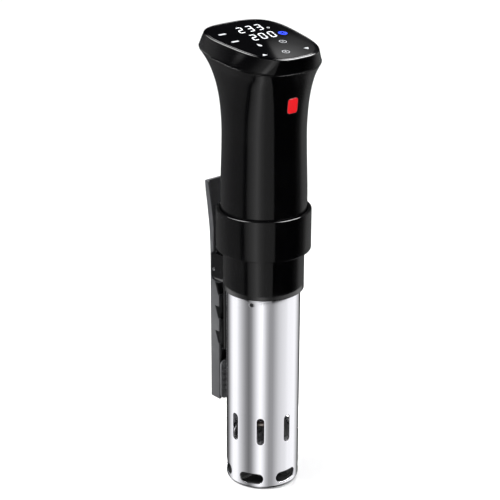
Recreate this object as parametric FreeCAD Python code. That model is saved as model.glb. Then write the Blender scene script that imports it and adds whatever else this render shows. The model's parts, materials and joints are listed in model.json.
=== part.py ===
"""Sous vide circulator: a flared black handle with a touch panel, a swivelling pot clamp and a slotted steel
sleeve over the heater and the pump.

Frame: +Z up along the pump shaft, origin at the centre of the foot. The panel's reader stands at -Y, and the
clamp is at +Y. Millimetres. Every function below returns the solids of one node, or a tool used by several.
"""

import FreeCAD, Part
import math
import os

from FreeCAD import Placement, Rotation, Vector

os.makedirs("parts", exist_ok=True)

# ---- driving dimensions --------------------------------------------------------------------------
SLEEVE_R = 30.0  # outer radius of the steel sleeve, from which the whole object was scaled
SLEEVE_WALL = 1.0
SLEEVE_SHOW_Z = 171.0  # where the steel disappears into the lower housing
HOUSING_R = 32.75  # lower housing
HOUSING_TOP_Z = 236.0
COLLAR_R = 38.0  # clamp collar
COLLAR_Z0, COLLAR_Z1 = 205.3, 239.1
TONGUE_Z0 = 106.0  # lower end of the inner jaw
LEVER_HALF_W = 14.0  # half the clamp's width
LEVER_Z0, LEVER_Z1 = 58.6, 250.0
PIN_Y, PIN_Z = 45.5, 175.6  # clamp hinge
HEAD_TILT = 8.34  # degrees, the panel leans towards its reader
PANEL_A, PANEL_B, PANEL_N = 35.1, 42.0, 3.04  # half width, half length and squareness of the panel
PANEL_TAPER = 0.129  # how much wider the panel is at its far end, as a share
PANEL_Y, PANEL_Z = 0.5, 373.5  # middle of the panel's top face
SHELL_WALL = 2.4

# ---- the rest of the places, worked out from those -----------------------------------------------
SLEEVE_IN = SLEEVE_R - SLEEVE_WALL
SLEEVE_TOP_Z = SLEEVE_SHOW_Z + 6.0
SPIGOT_R = SLEEVE_IN - 0.2
SPIGOT_Z0 = SLEEVE_SHOW_Z - 17.0
BULKHEAD_Z0 = SLEEVE_TOP_Z + 0.5
BULKHEAD_Z1 = BULKHEAD_Z0 + 4.0
SHELL_Z0 = HOUSING_TOP_Z + 0.3
PLATE_Z0 = SPIGOT_Z0 - 1.6  # underside of the steel base plate
MOUNT_Z0, MOUNT_Z1 = BULKHEAD_Z1 + 7.0, BULKHEAD_Z1 + 10.5  # motor mounting plate
SHAFT_R = 2.0
MOTOR_R, MOTOR_Z1 = 18.0, MOUNT_Z1 + 42.0
OUTLET_Z, OUTLET_H = 10.0, 9.0  # low slots, where the water leaves
INTAKE_Z0, INTAKE_Z1, INTAKE_W = 42.0, 66.0, 6.2  # tall slots, where it enters
PIN_HOLE_Z = SLEEVE_SHOW_Z - 4.9
UP = Vector(0, 0, 1)
AXIS_X = Vector(1, 0, 0)
AXIS_Y = Vector(0, 1, 0)


# ---- tools ---------------------------------------------------------------------------------------
def tube(r_out, r_in, z0, z1):
    """An upright ring; r_in 0 makes it a disc."""
    solid = Part.makeCylinder(r_out, z1 - z0, Vector(0, 0, z0))
    if r_in > 0:
        solid = solid.cut(Part.makeCylinder(r_in, z1 - z0, Vector(0, 0, z0)))
    return solid


def post(x, y, r, z0, z1, r_in=0.0):
    """A round post, or an upright tube where r_in is given, away from the axis."""
    solid = tube(r, r_in, z0, z1)
    solid.translate(Vector(x, y, 0))
    return solid


def box(x0, x1, y0, y1, z0, z1):
    """A block between two corners."""
    return Part.makeBox(x1 - x0, y1 - y0, z1 - z0, Vector(x0, y0, z0))


def turned(points):
    """The solid that a closed outline of (radius, z) points makes when it is turned about Z."""
    corners = [Vector(r, 0, z) for r, z in points]
    face = Part.Face(Part.makePolygon(corners + corners[:1]))
    return face.revolve(Vector(0, 0, 0), UP, 360)


def around(angle, x=0.0, y=0.0):
    """The place (x, y) turned about Z by an angle in degrees, as two numbers."""
    turn = math.radians(angle)
    return x * math.cos(turn) - y * math.sin(turn), x * math.sin(turn) + y * math.cos(turn)


def spun(solid, angle):
    """A copy of a solid, turned about Z."""
    copy = solid.copy()
    copy.rotate(Vector(0, 0, 0), UP, angle)
    return copy


def joined(solids):
    """One solid from several that touch or overlap."""
    whole = solids[0]
    if len(solids) > 1:
        whole = whole.fuse(solids[1:])
    return whole.removeSplitter()


def less(solid, tools):
    """A solid with several others cut away."""
    return solid.cut(tools) if tools else solid


def on_panel(solid, drop=0.0):
    """A solid drawn about the origin, laid on the tilted panel, drop below its top face."""
    copy = solid.copy()
    tilt = Rotation(AXIS_X, HEAD_TILT)
    centre = Vector(0, PANEL_Y, PANEL_Z) - tilt.multVec(UP) * drop
    copy.Placement = Placement(centre, tilt).multiply(copy.Placement)
    return copy


def superellipse(a, b, n, y=0.0, z=0.0, tilt=0.0, taper=0.0, count=40):
    """A closed smooth wire |x/a|^n + |y/b|^n = 1, widened to the back by taper, tilted about X, at (0, y, z)."""
    points = []
    lean = math.radians(tilt)
    for i in range(count):
        turn = 2 * math.pi * i / count
        c, s = math.cos(turn), math.sin(turn)
        u = a * math.copysign(abs(c) ** (2 / n), c)
        v = b * math.copysign(abs(s) ** (2 / n), s)
        points.append(Vector(u * (1 + taper * v / b), y + v * math.cos(lean), z + v * math.sin(lean)))
    curve = Part.BSplineCurve()
    curve.interpolate(Points=points, PeriodicFlag=True)
    return Part.Wire([curve.toShape()])


def slab(a, b, n, depth):
    """A flat plate with the panel's taper, whose top face is at z = 0."""
    return Part.Face(superellipse(a, b, n, z=-depth, taper=PANEL_TAPER)).extrude(Vector(0, 0, depth))


def across(points, x0, x1):
    """A solid between two values of x from a closed outline of (y, z) points."""
    corners = [Vector(x0, y, z) for y, z in points]
    face = Part.Face(Part.makePolygon(corners + corners[:1]))
    return face.extrude(Vector(x1 - x0, 0, 0))


def side_profile(points, half_width):
    """A solid between x = -half_width and half_width from a closed outline of (y, z) points."""
    return across(points, -half_width, half_width)


def screw(x, y, z, length, r=1.5, head_r=2.8, head_h=1.8, down=True):
    """A pan head screw with a cross recess; z is the head's seat, and the shank goes down from it."""
    shank = Part.makeCylinder(r, length, Vector(0, 0, -length))
    head = Part.makeCylinder(head_r, head_h)
    head = head.makeFillet(0.5, [e for e in head.Edges if e.BoundBox.ZMin > head_h - 0.01])
    slot_z = head_h - 0.8
    arms = [box(-0.35, 0.35, -1.5, 1.5, slot_z, head_h + 1), box(-1.5, 1.5, -0.35, 0.35, slot_z, head_h + 1)]
    whole = less(shank.fuse(head).removeSplitter(), arms)
    if not down:
        whole.rotate(Vector(0, 0, 0), AXIS_X, 180)
    whole.translate(Vector(x, y, z))
    return whole


def cord_bore(r, y0, y1, z):
    """A cylinder along +Y, for the gland at the back of the handle."""
    return Part.makeCylinder(r, y1 - y0, Vector(0, y0, z), AXIS_Y)


# ---- handle --------------------------------------------------------------------------------------
# z, half width, half length, squareness, shift towards the back, tilt and taper of the handle's cross-sections
HANDLE_SECTIONS = [
    (SHELL_Z0, 34.5, 34.5, 2.0, 0.0, 0.0, 0.0),
    (254.0, 34.4, 34.4, 2.0, 0.0, 0.0, 0.0),
    (272.0, 33.9, 33.9, 2.0, 0.0, 0.0, 0.0),
    (290.0, 33.4, 33.4, 2.0, 0.0, 0.0, 0.0),
    (306.0, 33.3, 33.3, 2.0, 0.0, 0.0, 0.0),
    (319.0, 33.5, 33.8, 2.06, 0.1, 0.7, 0.0),
    (331.0, 33.9, 35.0, 2.18, 0.5, 2.3, 0.0),
    (342.0, 35.1, 37.0, 2.35, 1.4, 4.6, 0.0),
    (352.0, 37.3, 40.3, 2.5, 2.7, 7.0, 0.015),
    (362.0, 42.0, 45.0, 2.61, 4.1, 8.9, 0.04),
]


def handle_loft(grow):
    """The handle's outer form as a solid, grown by some millimetres all round."""
    wires = [superellipse(a + grow, b + grow, *rest[:2], z, *rest[2:]) for z, a, b, *rest in HANDLE_SECTIONS]
    return Part.makeLoft(wires, True, False, False, 5)


SHELL_SCREW_ANGLES, SHELL_SCREW_R = (45, 165, 285), 27.1
RIM_IN = 24.4  # inner radius of the two rims that the shell screws join
INDICATOR_X, INDICATOR_Z = -2.0, 329.0
INDICATOR_H, INDICATOR_W = 11.8, 9.6
GLAND_Z, GLAND_R, GLAND_BORE_R = 334.0, 5.5, 3.4
GLAND_Y0, GLAND_Y1 = 30.0, 45.0


def indicator_block(margin=0.0):
    """The upright rounded block that the indicator lens and its opening are cut from."""
    w, h = INDICATOR_W / 2 + margin, INDICATOR_H / 2 + margin
    block = box(INDICATOR_X - w, INDICATOR_X + w, -45, -28, INDICATOR_Z - h, INDICATOR_Z + h)
    along = [e for e in block.Edges if abs(e.tangentAt(e.FirstParameter).y) > 0.99]
    return block.makeFillet(2.0 + margin, along)


def upper_shell():
    """The flared handle, open at both ends, with a rim inside that takes the screws from below."""
    shell = handle_loft(0.0).cut(handle_loft(-SHELL_WALL))
    shoulder = tube(34.0, RIM_IN, SHELL_Z0, SHELL_Z0 + 3.0)
    shell = joined([shell, shoulder])
    holes = [post(*around(a, y=-SHELL_SCREW_R), 1.5, SHELL_Z0 - 1, SHELL_Z0 + 4) for a in SHELL_SCREW_ANGLES]
    return less(shell, holes + [indicator_block(0.1), cord_bore(GLAND_R, 20, 60, GLAND_Z)])


def head_bezel():
    """The bevelled band round the panel, with a recess for the lens and its gasket."""
    z, a, b, n, y, tilt, taper = HANDLE_SECTIONS[-1]
    foot = superellipse(a + 0.4, b + 0.2, n, y, z + 0.25, tilt, taper)
    knee = superellipse(a + 0.5, b + 0.3, n, y, z + 1.6, tilt, taper)
    lean = (HEAD_TILT, PANEL_TAPER)
    rim = superellipse(PANEL_A + 1.1, PANEL_B + 1.1, PANEL_N, PANEL_Y + 0.1, PANEL_Z - 0.9, *lean)
    top = superellipse(PANEL_A + 0.35, PANEL_B + 0.35, PANEL_N, PANEL_Y, PANEL_Z, *lean)
    rings = [foot, knee, rim, top]
    band = joined([Part.makeLoft(list(pair), True) for pair in zip(rings[:-1], rings[1:])])
    recess = on_panel(slab(PANEL_A - 0.5, PANEL_B - 0.5, PANEL_N, 3.2))
    recess.translate(Vector(0, 0, 0.02))
    window = on_panel(slab(PANEL_A - 3.0, PANEL_B - 3.0, PANEL_N, 40), -5)
    return less(band, [recess, window])


def touch_lens():
    """The black panel, with softened edges."""
    plate = slab(PANEL_A - 0.6, PANEL_B - 0.6, PANEL_N, 2.0)
    rim = [e for e in plate.Edges if e.BoundBox.ZMin > -0.01]
    return on_panel(plate.makeFillet(0.4, rim), -0.1)


def lens_gasket():
    """A thin foam frame between the lens and the bezel's ledge."""
    frame = slab(PANEL_A - 0.9, PANEL_B - 0.9, PANEL_N, 1.2)
    return on_panel(frame.cut(slab(PANEL_A - 2.8, PANEL_B - 2.8, PANEL_N, 1.2)), 1.95)


# ---- electronics under the panel -----------------------------------------------------------------
BOARD_DROP = 8.0  # from the panel's face to the top of the control board
KEY_PLACES = [(-19.8, -25.5), (16.6, -28.4), (-3.3, -28.0), (9.8, -10.5), (-12.6, -8.2)]
BOARD_SCREWS = [(-25.5, 22.0), (25.5, 22.0), (6.5, -29.5)]
LENS_DEPTH = 1.9  # from the panel's face to the back of the lens


def control_board():
    """The round-cornered board that carries the display and the touch springs."""
    board = slab(PANEL_A - 6.0, PANEL_B - 6.0, PANEL_N, 1.6)
    holes = [post(x, y, 1.6, -2, 1) for x, y in BOARD_SCREWS]
    return on_panel(less(board, holes), BOARD_DROP)


def led_display():
    """The numeric display block: a shallow case with two rows of three digit windows."""
    depth = BOARD_DROP - LENS_DEPTH - 0.6
    case = box(-10.0, 20.0, -2.5, 33, -depth, 0)
    windows = [box(u - 4.2, u + 4.2, v, v + 14, -0.5, 1) for u in (-4.5, 4.8, 14.1) for v in (0, 16.5)]
    return on_panel(less(case, windows), LENS_DEPTH + 0.6)


def touch_springs():
    """Small coil springs that press on the back of the lens, one under each key."""
    coils = []
    for x, y in KEY_PLACES:
        helix = Part.makeHelix(1.25, 5.0, 1.9)
        corners = [Vector(1.9 + a, 0, b) for a, b in (around(45 * i, 0.3) for i in range(8))]
        section = Part.makePolygon(corners + corners[:1])
        coil = Part.Wire(helix.Edges).makePipeShell([section], True, True)
        coil.translate(Vector(x, y, 0))
        coils.append(on_panel(coil, BOARD_DROP - 0.5))
    return Part.makeCompound(coils)


def buzzer():
    """A round sounder on the underside of the control board."""
    body = tube(5.0, 0, -6.0, 0).cut(tube(1.2, 0, -6.0, -5.0))
    body.translate(Vector(-16, -6, 0))
    return on_panel(body, BOARD_DROP + 1.6)


def board_posts():
    """Three plastic pillars bonded to the back of the lens, which hold the control board."""
    depth = BOARD_DROP - LENS_DEPTH
    pillars = [post(x, y, 3.0, -depth, 0).cut(post(x, y, 1.25, -depth, 4.6 - depth)) for x, y in BOARD_SCREWS]
    return Part.makeCompound([on_panel(p, LENS_DEPTH) for p in pillars])


def board_screws():
    """Screws that fasten the control board to its pillars, heads below."""
    found = []
    for x, y in BOARD_SCREWS:
        found.append(on_panel(screw(x, y, 0, 5.0, 1.2, 2.4, 1.4, down=False), BOARD_DROP + 1.6))
    return Part.makeCompound(found)


def indicator_lens():
    """The red lens set flush in the front of the handle, standing 0.3 proud."""
    lens = indicator_block().common(handle_loft(0.3))
    return lens.cut(handle_loft(-SHELL_WALL - 0.6))


def indicator_lamp():
    """A small lamp board behind the red lens."""
    y = -28.6
    board = box(INDICATOR_X - 6, INDICATOR_X + 6, y, y + 1.2, INDICATOR_Z - 8, INDICATOR_Z + 8)
    lamp = Part.makeCylinder(1.5, 1.2, Vector(INDICATOR_X, y - 1.2, INDICATOR_Z), AXIS_Y)
    return joined([board, lamp])


POWER_Y = 12.0  # front face of the upright power board
POWER_Z0, POWER_Z1 = 246.0, 332.0


def power_board():
    """The upright mains board behind the shaft axis."""
    return box(-25, 25, POWER_Y, POWER_Y + 1.6, POWER_Z0, POWER_Z1)


def power_transformer():
    """A small wound transformer: a core with a bobbin through it."""
    core = box(-21, -1, POWER_Y - 17, POWER_Y, 252, 270)
    cheeks = [box(-19, -3, POWER_Y - 19, POWER_Y - 2, z, z + 4) for z in (248, 270)]
    return joined([core] + cheeks)


def filter_capacitor():
    """A round capacitor lying against the board."""
    can = Part.makeCylinder(6.0, 19.0, Vector(10, POWER_Y - 19, 262), AXIS_Y)
    end = [e for e in can.Edges if e.BoundBox.YMax < POWER_Y - 18.9]
    return can.makeFillet(1.0, end)


def power_relay():
    """The heater's relay block."""
    block = box(-20, -1, POWER_Y - 15, POWER_Y, 284, 300)
    return block.makeFillet(0.8, [e for e in block.Edges if e.BoundBox.YMax < POWER_Y - 14.9])


def heat_sink():
    """A finned aluminium block that cools the heater's switch."""
    base = box(4, 22, POWER_Y - 3, POWER_Y, 284, 318)
    fins = [box(4 + 3.2 * i, 5.2 + 3.2 * i, POWER_Y - 15, POWER_Y - 3, 284, 318) for i in range(6)]
    return joined([base] + fins)


def ribbon_cable():
    """The flat cable from the power board up to the control board."""
    return box(-19, -5, POWER_Y - 1.2, POWER_Y - 0.2, 306, 364.0)


def heater_leads():
    """Two insulated leads from the heater's cold ends up to the back of the power board."""
    bend, z0, z1 = 3.5, HEATER_LEG_TOP_Z, POWER_Z0 + 8
    y0, y1, mid = HEATER_LEG_Y, POWER_Y + 1.6, 3.5 * (1 - math.sqrt(0.5))
    leads = []
    for x in (-HEATER_LEG_X, HEATER_LEG_X):
        rise = Part.LineSegment(Vector(x, y0, z0), Vector(x, y0, z1 - bend)).toShape()
        corner = [Vector(x, y0, z1 - bend), Vector(x, y0 - mid, z1 - mid), Vector(x, y0 - bend, z1)]
        turn = Part.Arc(*corner).toShape()
        run = Part.LineSegment(Vector(x, y0 - bend, z1), Vector(x, y1, z1)).toShape()
        section = Part.Wire([Part.makeCircle(1.3, Vector(x, y0, z0), UP)])
        leads.append(Part.Wire([rise, turn, run]).makePipeShell([section], True, True))
    return Part.makeCompound(leads)


def cord_gland():
    """The rubber bush in the handle's back that the mains cord would come through."""
    barrel = cord_bore(GLAND_R, GLAND_Y0, GLAND_Y1, GLAND_Z)
    back = cord_bore(7.6, GLAND_Y0, GLAND_Y0 + 2.0, GLAND_Z)
    proud = cord_bore(7.4, 36.0, 41.0, GLAND_Z).cut(handle_loft(0.0))
    whole = joined([barrel, back, proud])
    return whole.cut(cord_bore(GLAND_BORE_R, GLAND_Y0 - 1, GLAND_Y1 + 1, GLAND_Z))


# ---- lower housing and motor ---------------------------------------------------------------------
MOUNT_ANGLES = (0, 120, 240)
SPIGOT_SCREW_ANGLES = (60, 180, 300)
O_RING_Z = SLEEVE_TOP_Z - 3.6
FRICTION_Z = 222.0
CLIP_Z0, CLIP_Z1 = COLLAR_Z0 + 0.4, COLLAR_Z0 + 1.6
HEATER_LEG_X, HEATER_LEG_Y = 9.5, 19.2
HEATER_LEG_TOP_Z = SPIGOT_Z0 + 12


def lower_housing():
    """The black barrel below the handle: skirt, bulkhead, motor bay and the bearing for the collar."""
    outline = [
        (HOUSING_R - 0.8, SLEEVE_SHOW_Z), (HOUSING_R - 0.2, SLEEVE_SHOW_Z + 0.25),
        (HOUSING_R, SLEEVE_SHOW_Z + 0.9),
        (HOUSING_R, HOUSING_TOP_Z - 0.4), (HOUSING_R - 0.4, HOUSING_TOP_Z), (RIM_IN, HOUSING_TOP_Z),
        (RIM_IN, HOUSING_TOP_Z - 3), (29.6, HOUSING_TOP_Z - 3), (29.6, BULKHEAD_Z1), (3.2, BULKHEAD_Z1),
        (3.2, BULKHEAD_Z0), (SLEEVE_R + 0.25, BULKHEAD_Z0), (SLEEVE_R + 0.25, SLEEVE_SHOW_Z),
    ]
    body = turned(outline)
    bosses = [post(*around(a, y=-24), 3.6, BULKHEAD_Z1, MOUNT_Z0) for a in MOUNT_ANGLES]
    body = joined([body] + bosses)
    cuts = [tube(HOUSING_R + 1, HOUSING_R - 1.35, FRICTION_Z - 1.1, FRICTION_Z + 1.1)]
    cuts.append(tube(HOUSING_R + 1, HOUSING_R - 0.85, CLIP_Z0, CLIP_Z1))
    cuts += [post(*around(a, y=-24), 1.25, BULKHEAD_Z1 + 1, MOUNT_Z0 + 1) for a in MOUNT_ANGLES]
    cuts += [post(*around(a, y=-22.5), 1.5, BULKHEAD_Z0 - 1, BULKHEAD_Z1 + 1) for a in SPIGOT_SCREW_ANGLES]
    rim_z = HOUSING_TOP_Z - 4
    cuts += [post(*around(a, y=-SHELL_SCREW_R), 1.5, rim_z, rim_z + 5) for a in SHELL_SCREW_ANGLES]
    legs = (-HEATER_LEG_X, HEATER_LEG_X)
    cuts += [post(x, HEATER_LEG_Y, 1.6, BULKHEAD_Z0 - 1, BULKHEAD_Z1 + 1) for x in legs]
    return less(body, cuts)


def shell_screws():
    """Screws that join the lower housing to the handle's inner rim, heads below."""
    return Part.makeCompound(
        [screw(*around(a, y=-SHELL_SCREW_R), HOUSING_TOP_Z - 3, 6.0, 1.45, 2.4, 1.6, down=False)
         for a in SHELL_SCREW_ANGLES]
    )


def sleeve_spigot():
    """The cup that plugs the sleeve's upper end; three open keyways take the sleeve's pins."""
    cup = tube(SPIGOT_R, 26.0, SPIGOT_Z0, BULKHEAD_Z0)
    floor = tube(26.0, 6.0, SPIGOT_Z0, SPIGOT_Z0 + 3)
    bosses = [post(*around(a, y=-22.5), 3.6, SPIGOT_Z0 + 3, BULKHEAD_Z0) for a in SPIGOT_SCREW_ANGLES]
    body = joined([cup, floor] + bosses)
    keyway = box(-2.3, 2.3, -SPIGOT_R - 1, -27.2, SPIGOT_Z0 - 1, PIN_HOLE_Z + 2.4)
    cuts = [spun(keyway, a) for a in SLEEVE_PIN_ANGLES]
    cuts.append(tube(SPIGOT_R + 1, 27.0, O_RING_Z - 1.1, O_RING_Z + 1.1))
    cuts += [post(*around(a, y=-22.5), 1.2, SPIGOT_Z0 + 8, BULKHEAD_Z0 + 1) for a in SPIGOT_SCREW_ANGLES]
    cuts += [post(*around(a, y=-13), 1.2, SPIGOT_Z0 - 1, SPIGOT_Z0 + 4) for a in MOUNT_ANGLES]
    cuts += [post(x, y, r, SPIGOT_Z0 - 1, SPIGOT_Z0 + 4) for x, y, _, r in PLATE_PASSAGES]
    return less(body, cuts)


def spigot_screws():
    """Screws through the bulkhead that hold the spigot."""
    places = [around(a, y=-22.5) for a in SPIGOT_SCREW_ANGLES]
    return Part.makeCompound([screw(x, y, BULKHEAD_Z1, 10.0, 1.15, 2.6, 1.6) for x, y in places])


def ring(major, minor, z):
    """A round-section ring about the shaft axis."""
    return Part.makeTorus(major, minor, Vector(0, 0, z))


def sleeve_o_ring():
    """The ring that grips the sleeve."""
    return ring(28.0, 0.94, O_RING_Z)


def collar_friction_ring():
    """The rubber ring that makes the clamp collar stay where it is turned."""
    return ring(HOUSING_R - 0.56, 0.77, FRICTION_Z)


def collar_retaining_clip():
    """An open spring clip under the collar, in the lower housing's groove."""
    clip = tube(34.0, HOUSING_R - 0.83, CLIP_Z0 + 0.1, CLIP_Z1 - 0.1)
    return clip.cut(box(-3, 3, -40, -20, COLLAR_Z0, COLLAR_Z0 + 5))


def motor_mount():
    """The plate that the motor hangs its nose through."""
    plate = tube(28.8, 6.1, MOUNT_Z0, MOUNT_Z1)
    cuts = [post(*around(a, y=-24), 1.5, MOUNT_Z0 - 1, MOUNT_Z1 + 1) for a in MOUNT_ANGLES]
    cuts += [post(x, 0, 1.6, MOUNT_Z0 - 1, MOUNT_Z1 + 1) for x in (-11, 11)]
    cuts += [post(x, HEATER_LEG_Y, 2.2, MOUNT_Z0 - 1, MOUNT_Z1 + 1) for x in (-HEATER_LEG_X, HEATER_LEG_X)]
    cuts += [spun(box(-4, 4, -30, -22, MOUNT_Z0 - 1, MOUNT_Z1 + 1), a + 60) for a in MOUNT_ANGLES[:2]]
    return less(plate, cuts)


def mount_screws():
    """Screws that hold the motor mount on its bosses."""
    places = [around(a, y=-24) for a in MOUNT_ANGLES]
    return Part.makeCompound([screw(x, y, MOUNT_Z1, 8.0, 1.2) for x, y in places])


def motor_screws():
    """Two screws up through the mount into the motor's face."""
    return Part.makeCompound([screw(x, 0, MOUNT_Z0, 5.2, 1.35, 2.6, 1.5, down=False) for x in (-11, 11)])


def motor_can():
    """The motor's steel can with its nose bearing."""
    can = tube(MOTOR_R, 16.6, MOUNT_Z1, MOTOR_Z1)
    face = tube(16.6, 1.65, MOUNT_Z1, MOUNT_Z1 + 2.2)
    nose = tube(6.0, 1.65, MOUNT_Z0 + 0.5, MOUNT_Z1)
    body = joined([can, face, nose])
    return less(body, [post(x, 0, 1.35, MOUNT_Z1 - 1, MOUNT_Z1 + 2.1) for x in (-11, 11)])


def motor_magnets():
    """Two curved magnets inside the can."""
    shell = tube(16.5, 13.0, MOUNT_Z1 + 6, MOTOR_Z1 - 8)
    gaps = [box(-4, 4, -20, 20, MOUNT_Z1, MOTOR_Z1)]
    return less(shell, gaps)


def motor_end_bell():
    """The motor's plastic end with its two terminals."""
    disc = tube(MOTOR_R, 0, MOTOR_Z1, MOTOR_Z1 + 3.5)
    disc = disc.makeFillet(1.2, [e for e in disc.Edges if e.BoundBox.ZMin > MOTOR_Z1 + 3.4])
    plug = tube(16.5, 8, MOTOR_Z1 - 4, MOTOR_Z1)
    tabs = [box(x - 1.5, x + 1.5, -0.3, 0.3, MOTOR_Z1 + 3, MOTOR_Z1 + 8) for x in (-9, 9)]
    return joined([disc, plug] + tabs).cut(tube(1.65, 0, MOTOR_Z1 - 1, MOTOR_Z1 + 2.0))


# ---- turning parts -------------------------------------------------------------------------------
COUPLING_Z0, COUPLING_Z1 = BULKHEAD_Z1 + 0.6, MOUNT_Z0 - 0.4
SHAFT_SPLIT_Z = (COUPLING_Z0 + COUPLING_Z1) / 2
IMPELLER_Z0, IMPELLER_Z1, IMPELLER_R = 7.5, 16.4, 19.5
CLIP_GROOVE_Z0, CLIP_GROOVE_Z1 = IMPELLER_Z0 - 1.1, IMPELLER_Z0 - 0.4


def rotor_shaft():
    """The motor's own shaft."""
    return tube(1.6, 0, SHAFT_SPLIT_Z + 0.2, MOTOR_Z1 + 1.0)


def rotor_core():
    """The wound core and its commutator on the motor shaft."""
    core = tube(11.8, 1.6, MOUNT_Z1 + 8, MOTOR_Z1 - 14)
    slots = [spun(box(-1.2, 1.2, -12.5, -7.5, MOUNT_Z1 + 7, MOTOR_Z1 - 13), 72 * i) for i in range(5)]
    commutator = tube(4.2, 1.6, MOTOR_Z1 - 14, MOTOR_Z1 - 6)
    return joined([less(core, slots), commutator])


def shaft_coupling():
    """The sleeve coupling, with its two set screws' holes, between motor shaft and drive shaft."""
    body = tube(5.0, SHAFT_R, COUPLING_Z0, SHAFT_SPLIT_Z).fuse(tube(5.0, 1.6, SHAFT_SPLIT_Z, COUPLING_Z1))
    body = body.removeSplitter()
    middle = (COUPLING_Z0 + SHAFT_SPLIT_Z) / 2
    return body.cut(Part.makeCylinder(0.9, 6, Vector(0, 2.2, middle), AXIS_Y))


def drive_shaft():
    """The long steel shaft down to the impeller, with the clip's groove near its tip."""
    rod = tube(SHAFT_R, 0, CLIP_GROOVE_Z0 - 1.0, SHAFT_SPLIT_Z - 0.2)
    rod = rod.makeChamfer(0.4, [e for e in rod.Edges if e.BoundBox.ZMax < CLIP_GROOVE_Z0])
    return rod.cut(tube(SHAFT_R + 1, 1.5, CLIP_GROOVE_Z0, CLIP_GROOVE_Z1))


def impeller_clip():
    """The E-shaped clip that keeps the impeller on its shaft."""
    clip = tube(3.8, 1.5, CLIP_GROOVE_Z0 + 0.05, CLIP_GROOVE_Z1 - 0.05)
    return clip.cut(box(-1.2, 1.2, -5, 0, CLIP_GROOVE_Z0, CLIP_GROOVE_Z1))


def impeller():
    """A shrouded wheel with six swept blades under its disc."""
    hub = tube(4.2, SHAFT_R, IMPELLER_Z0, IMPELLER_Z1)
    disc = tube(IMPELLER_R, SHAFT_R, IMPELLER_Z1 - 1.6, IMPELLER_Z1)
    blades = []
    for i in range(6):
        arc = tube(12.5, 11.1, IMPELLER_Z0 + 0.3, IMPELLER_Z1 - 1.0)
        arc.translate(Vector(12.0, 3.5, 0))
        blade = arc.common(tube(IMPELLER_R, 3.6, IMPELLER_Z0, IMPELLER_Z1))
        blade = blade.common(box(-3, 25, -25, 0.5, 0, 30))
        blades.append(spun(blade, 60 * i))
    return joined([hub, disc] + blades)


# ---- wet end -------------------------------------------------------------------------------------
PROBE_ANGLE, ELECTRODE_ANGLES, ROD_R = 113, (240, 275), 24.0
COIL_R, COIL_WIRE_R, COIL_PITCH = 15.5, 2.4, 6.4
COIL_Z0 = 52.0
PUMP_TUBE_R, PUMP_TUBE_Z0 = 7.0, 22.0


# what passes through the base plate and the spigot's floor: x, y, hole in the plate and hole in the floor
PLATE_PASSAGES = [(x, HEATER_LEG_Y, COIL_WIRE_R, 4.5) for x in (-HEATER_LEG_X, HEATER_LEG_X)]
PLATE_PASSAGES += [(*around(PROBE_ANGLE, y=-ROD_R), 2.0, 2.0)]
PLATE_PASSAGES += [(*around(a, y=-ROD_R), 1.5, 1.5) for a in ELECTRODE_ANGLES]


def base_plate():
    """The steel disc that closes the spigot, with its passages."""
    plate = tube(26.6, 5.0, PLATE_Z0, SPIGOT_Z0)
    cuts = [post(x, y, r, PLATE_Z0 - 1, SPIGOT_Z0 + 1) for x, y, r, _ in PLATE_PASSAGES]
    cuts += [post(*around(a, y=-13), 1.2, PLATE_Z0 - 1, SPIGOT_Z0 + 1) for a in MOUNT_ANGLES]
    return less(plate, cuts)


def plate_screws():
    """Three screws that hold the plate and the pump tube's flange, heads below."""
    places = [around(a, y=-13) for a in MOUNT_ANGLES]
    seat_z = PLATE_Z0 - 1.6
    return Part.makeCompound([screw(x, y, seat_z, 6.0, 1.15, 2.4, 1.4, down=False) for x, y in places])


def pump_tube():
    """The steel tube that guards the drive shaft, flanged at the top and slotted near its foot."""
    barrel = tube(PUMP_TUBE_R, 5.0, PUMP_TUBE_Z0, PLATE_Z0)
    flange = tube(15.6, 5.0, PLATE_Z0 - 1.6, PLATE_Z0)
    cuts = [post(*around(a, y=-13), 1.2, PLATE_Z0 - 2, PLATE_Z0 + 1) for a in MOUNT_ANGLES]
    windows = [spun(box(-2.2, 2.2, -9, -3, 34, 50), 120 * i) for i in range(3)]
    return less(joined([barrel, flange]), cuts + windows)


def pump_cowl():
    """The shallow dish over the impeller, held on the foot of the pump tube."""
    z = IMPELLER_Z1 + 1.4
    dish = turned([(5.6, z), (22.5, z), (22.5, z - 3.6), (24.0, z - 3.6), (24.0, z + 1.6), (8.8, z + 1.6),
                   (8.8, z + 8.4), (PUMP_TUBE_R, z + 8.4), (PUMP_TUBE_R, PUMP_TUBE_Z0), (5.6, PUMP_TUBE_Z0)])
    eyes = [spun(box(-2.0, 2.0, -18, -11, z - 1, z + 3), 60 * i + 30) for i in range(6)]
    return less(dish, eyes)


def shaft_bushes():
    """Two bearing bushes in the pump tube, foot and top."""
    foot = tube(5.0, SHAFT_R + 0.04, PUMP_TUBE_Z0, PUMP_TUBE_Z0 + 7)
    top = tube(5.0, SHAFT_R + 0.04, PLATE_Z0 - 10, PLATE_Z0 - 1.6)
    return Part.makeCompound([foot, top])


def shaft_seal():
    """The lip seal in the spigot's floor that keeps water off the motor."""
    body = tube(6.0, SHAFT_R + 0.05, SPIGOT_Z0, SPIGOT_Z0 + 5)
    return body.cut(tube(4.6, 3.0, SPIGOT_Z0 - 1, SPIGOT_Z0 + 2.5))


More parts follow.
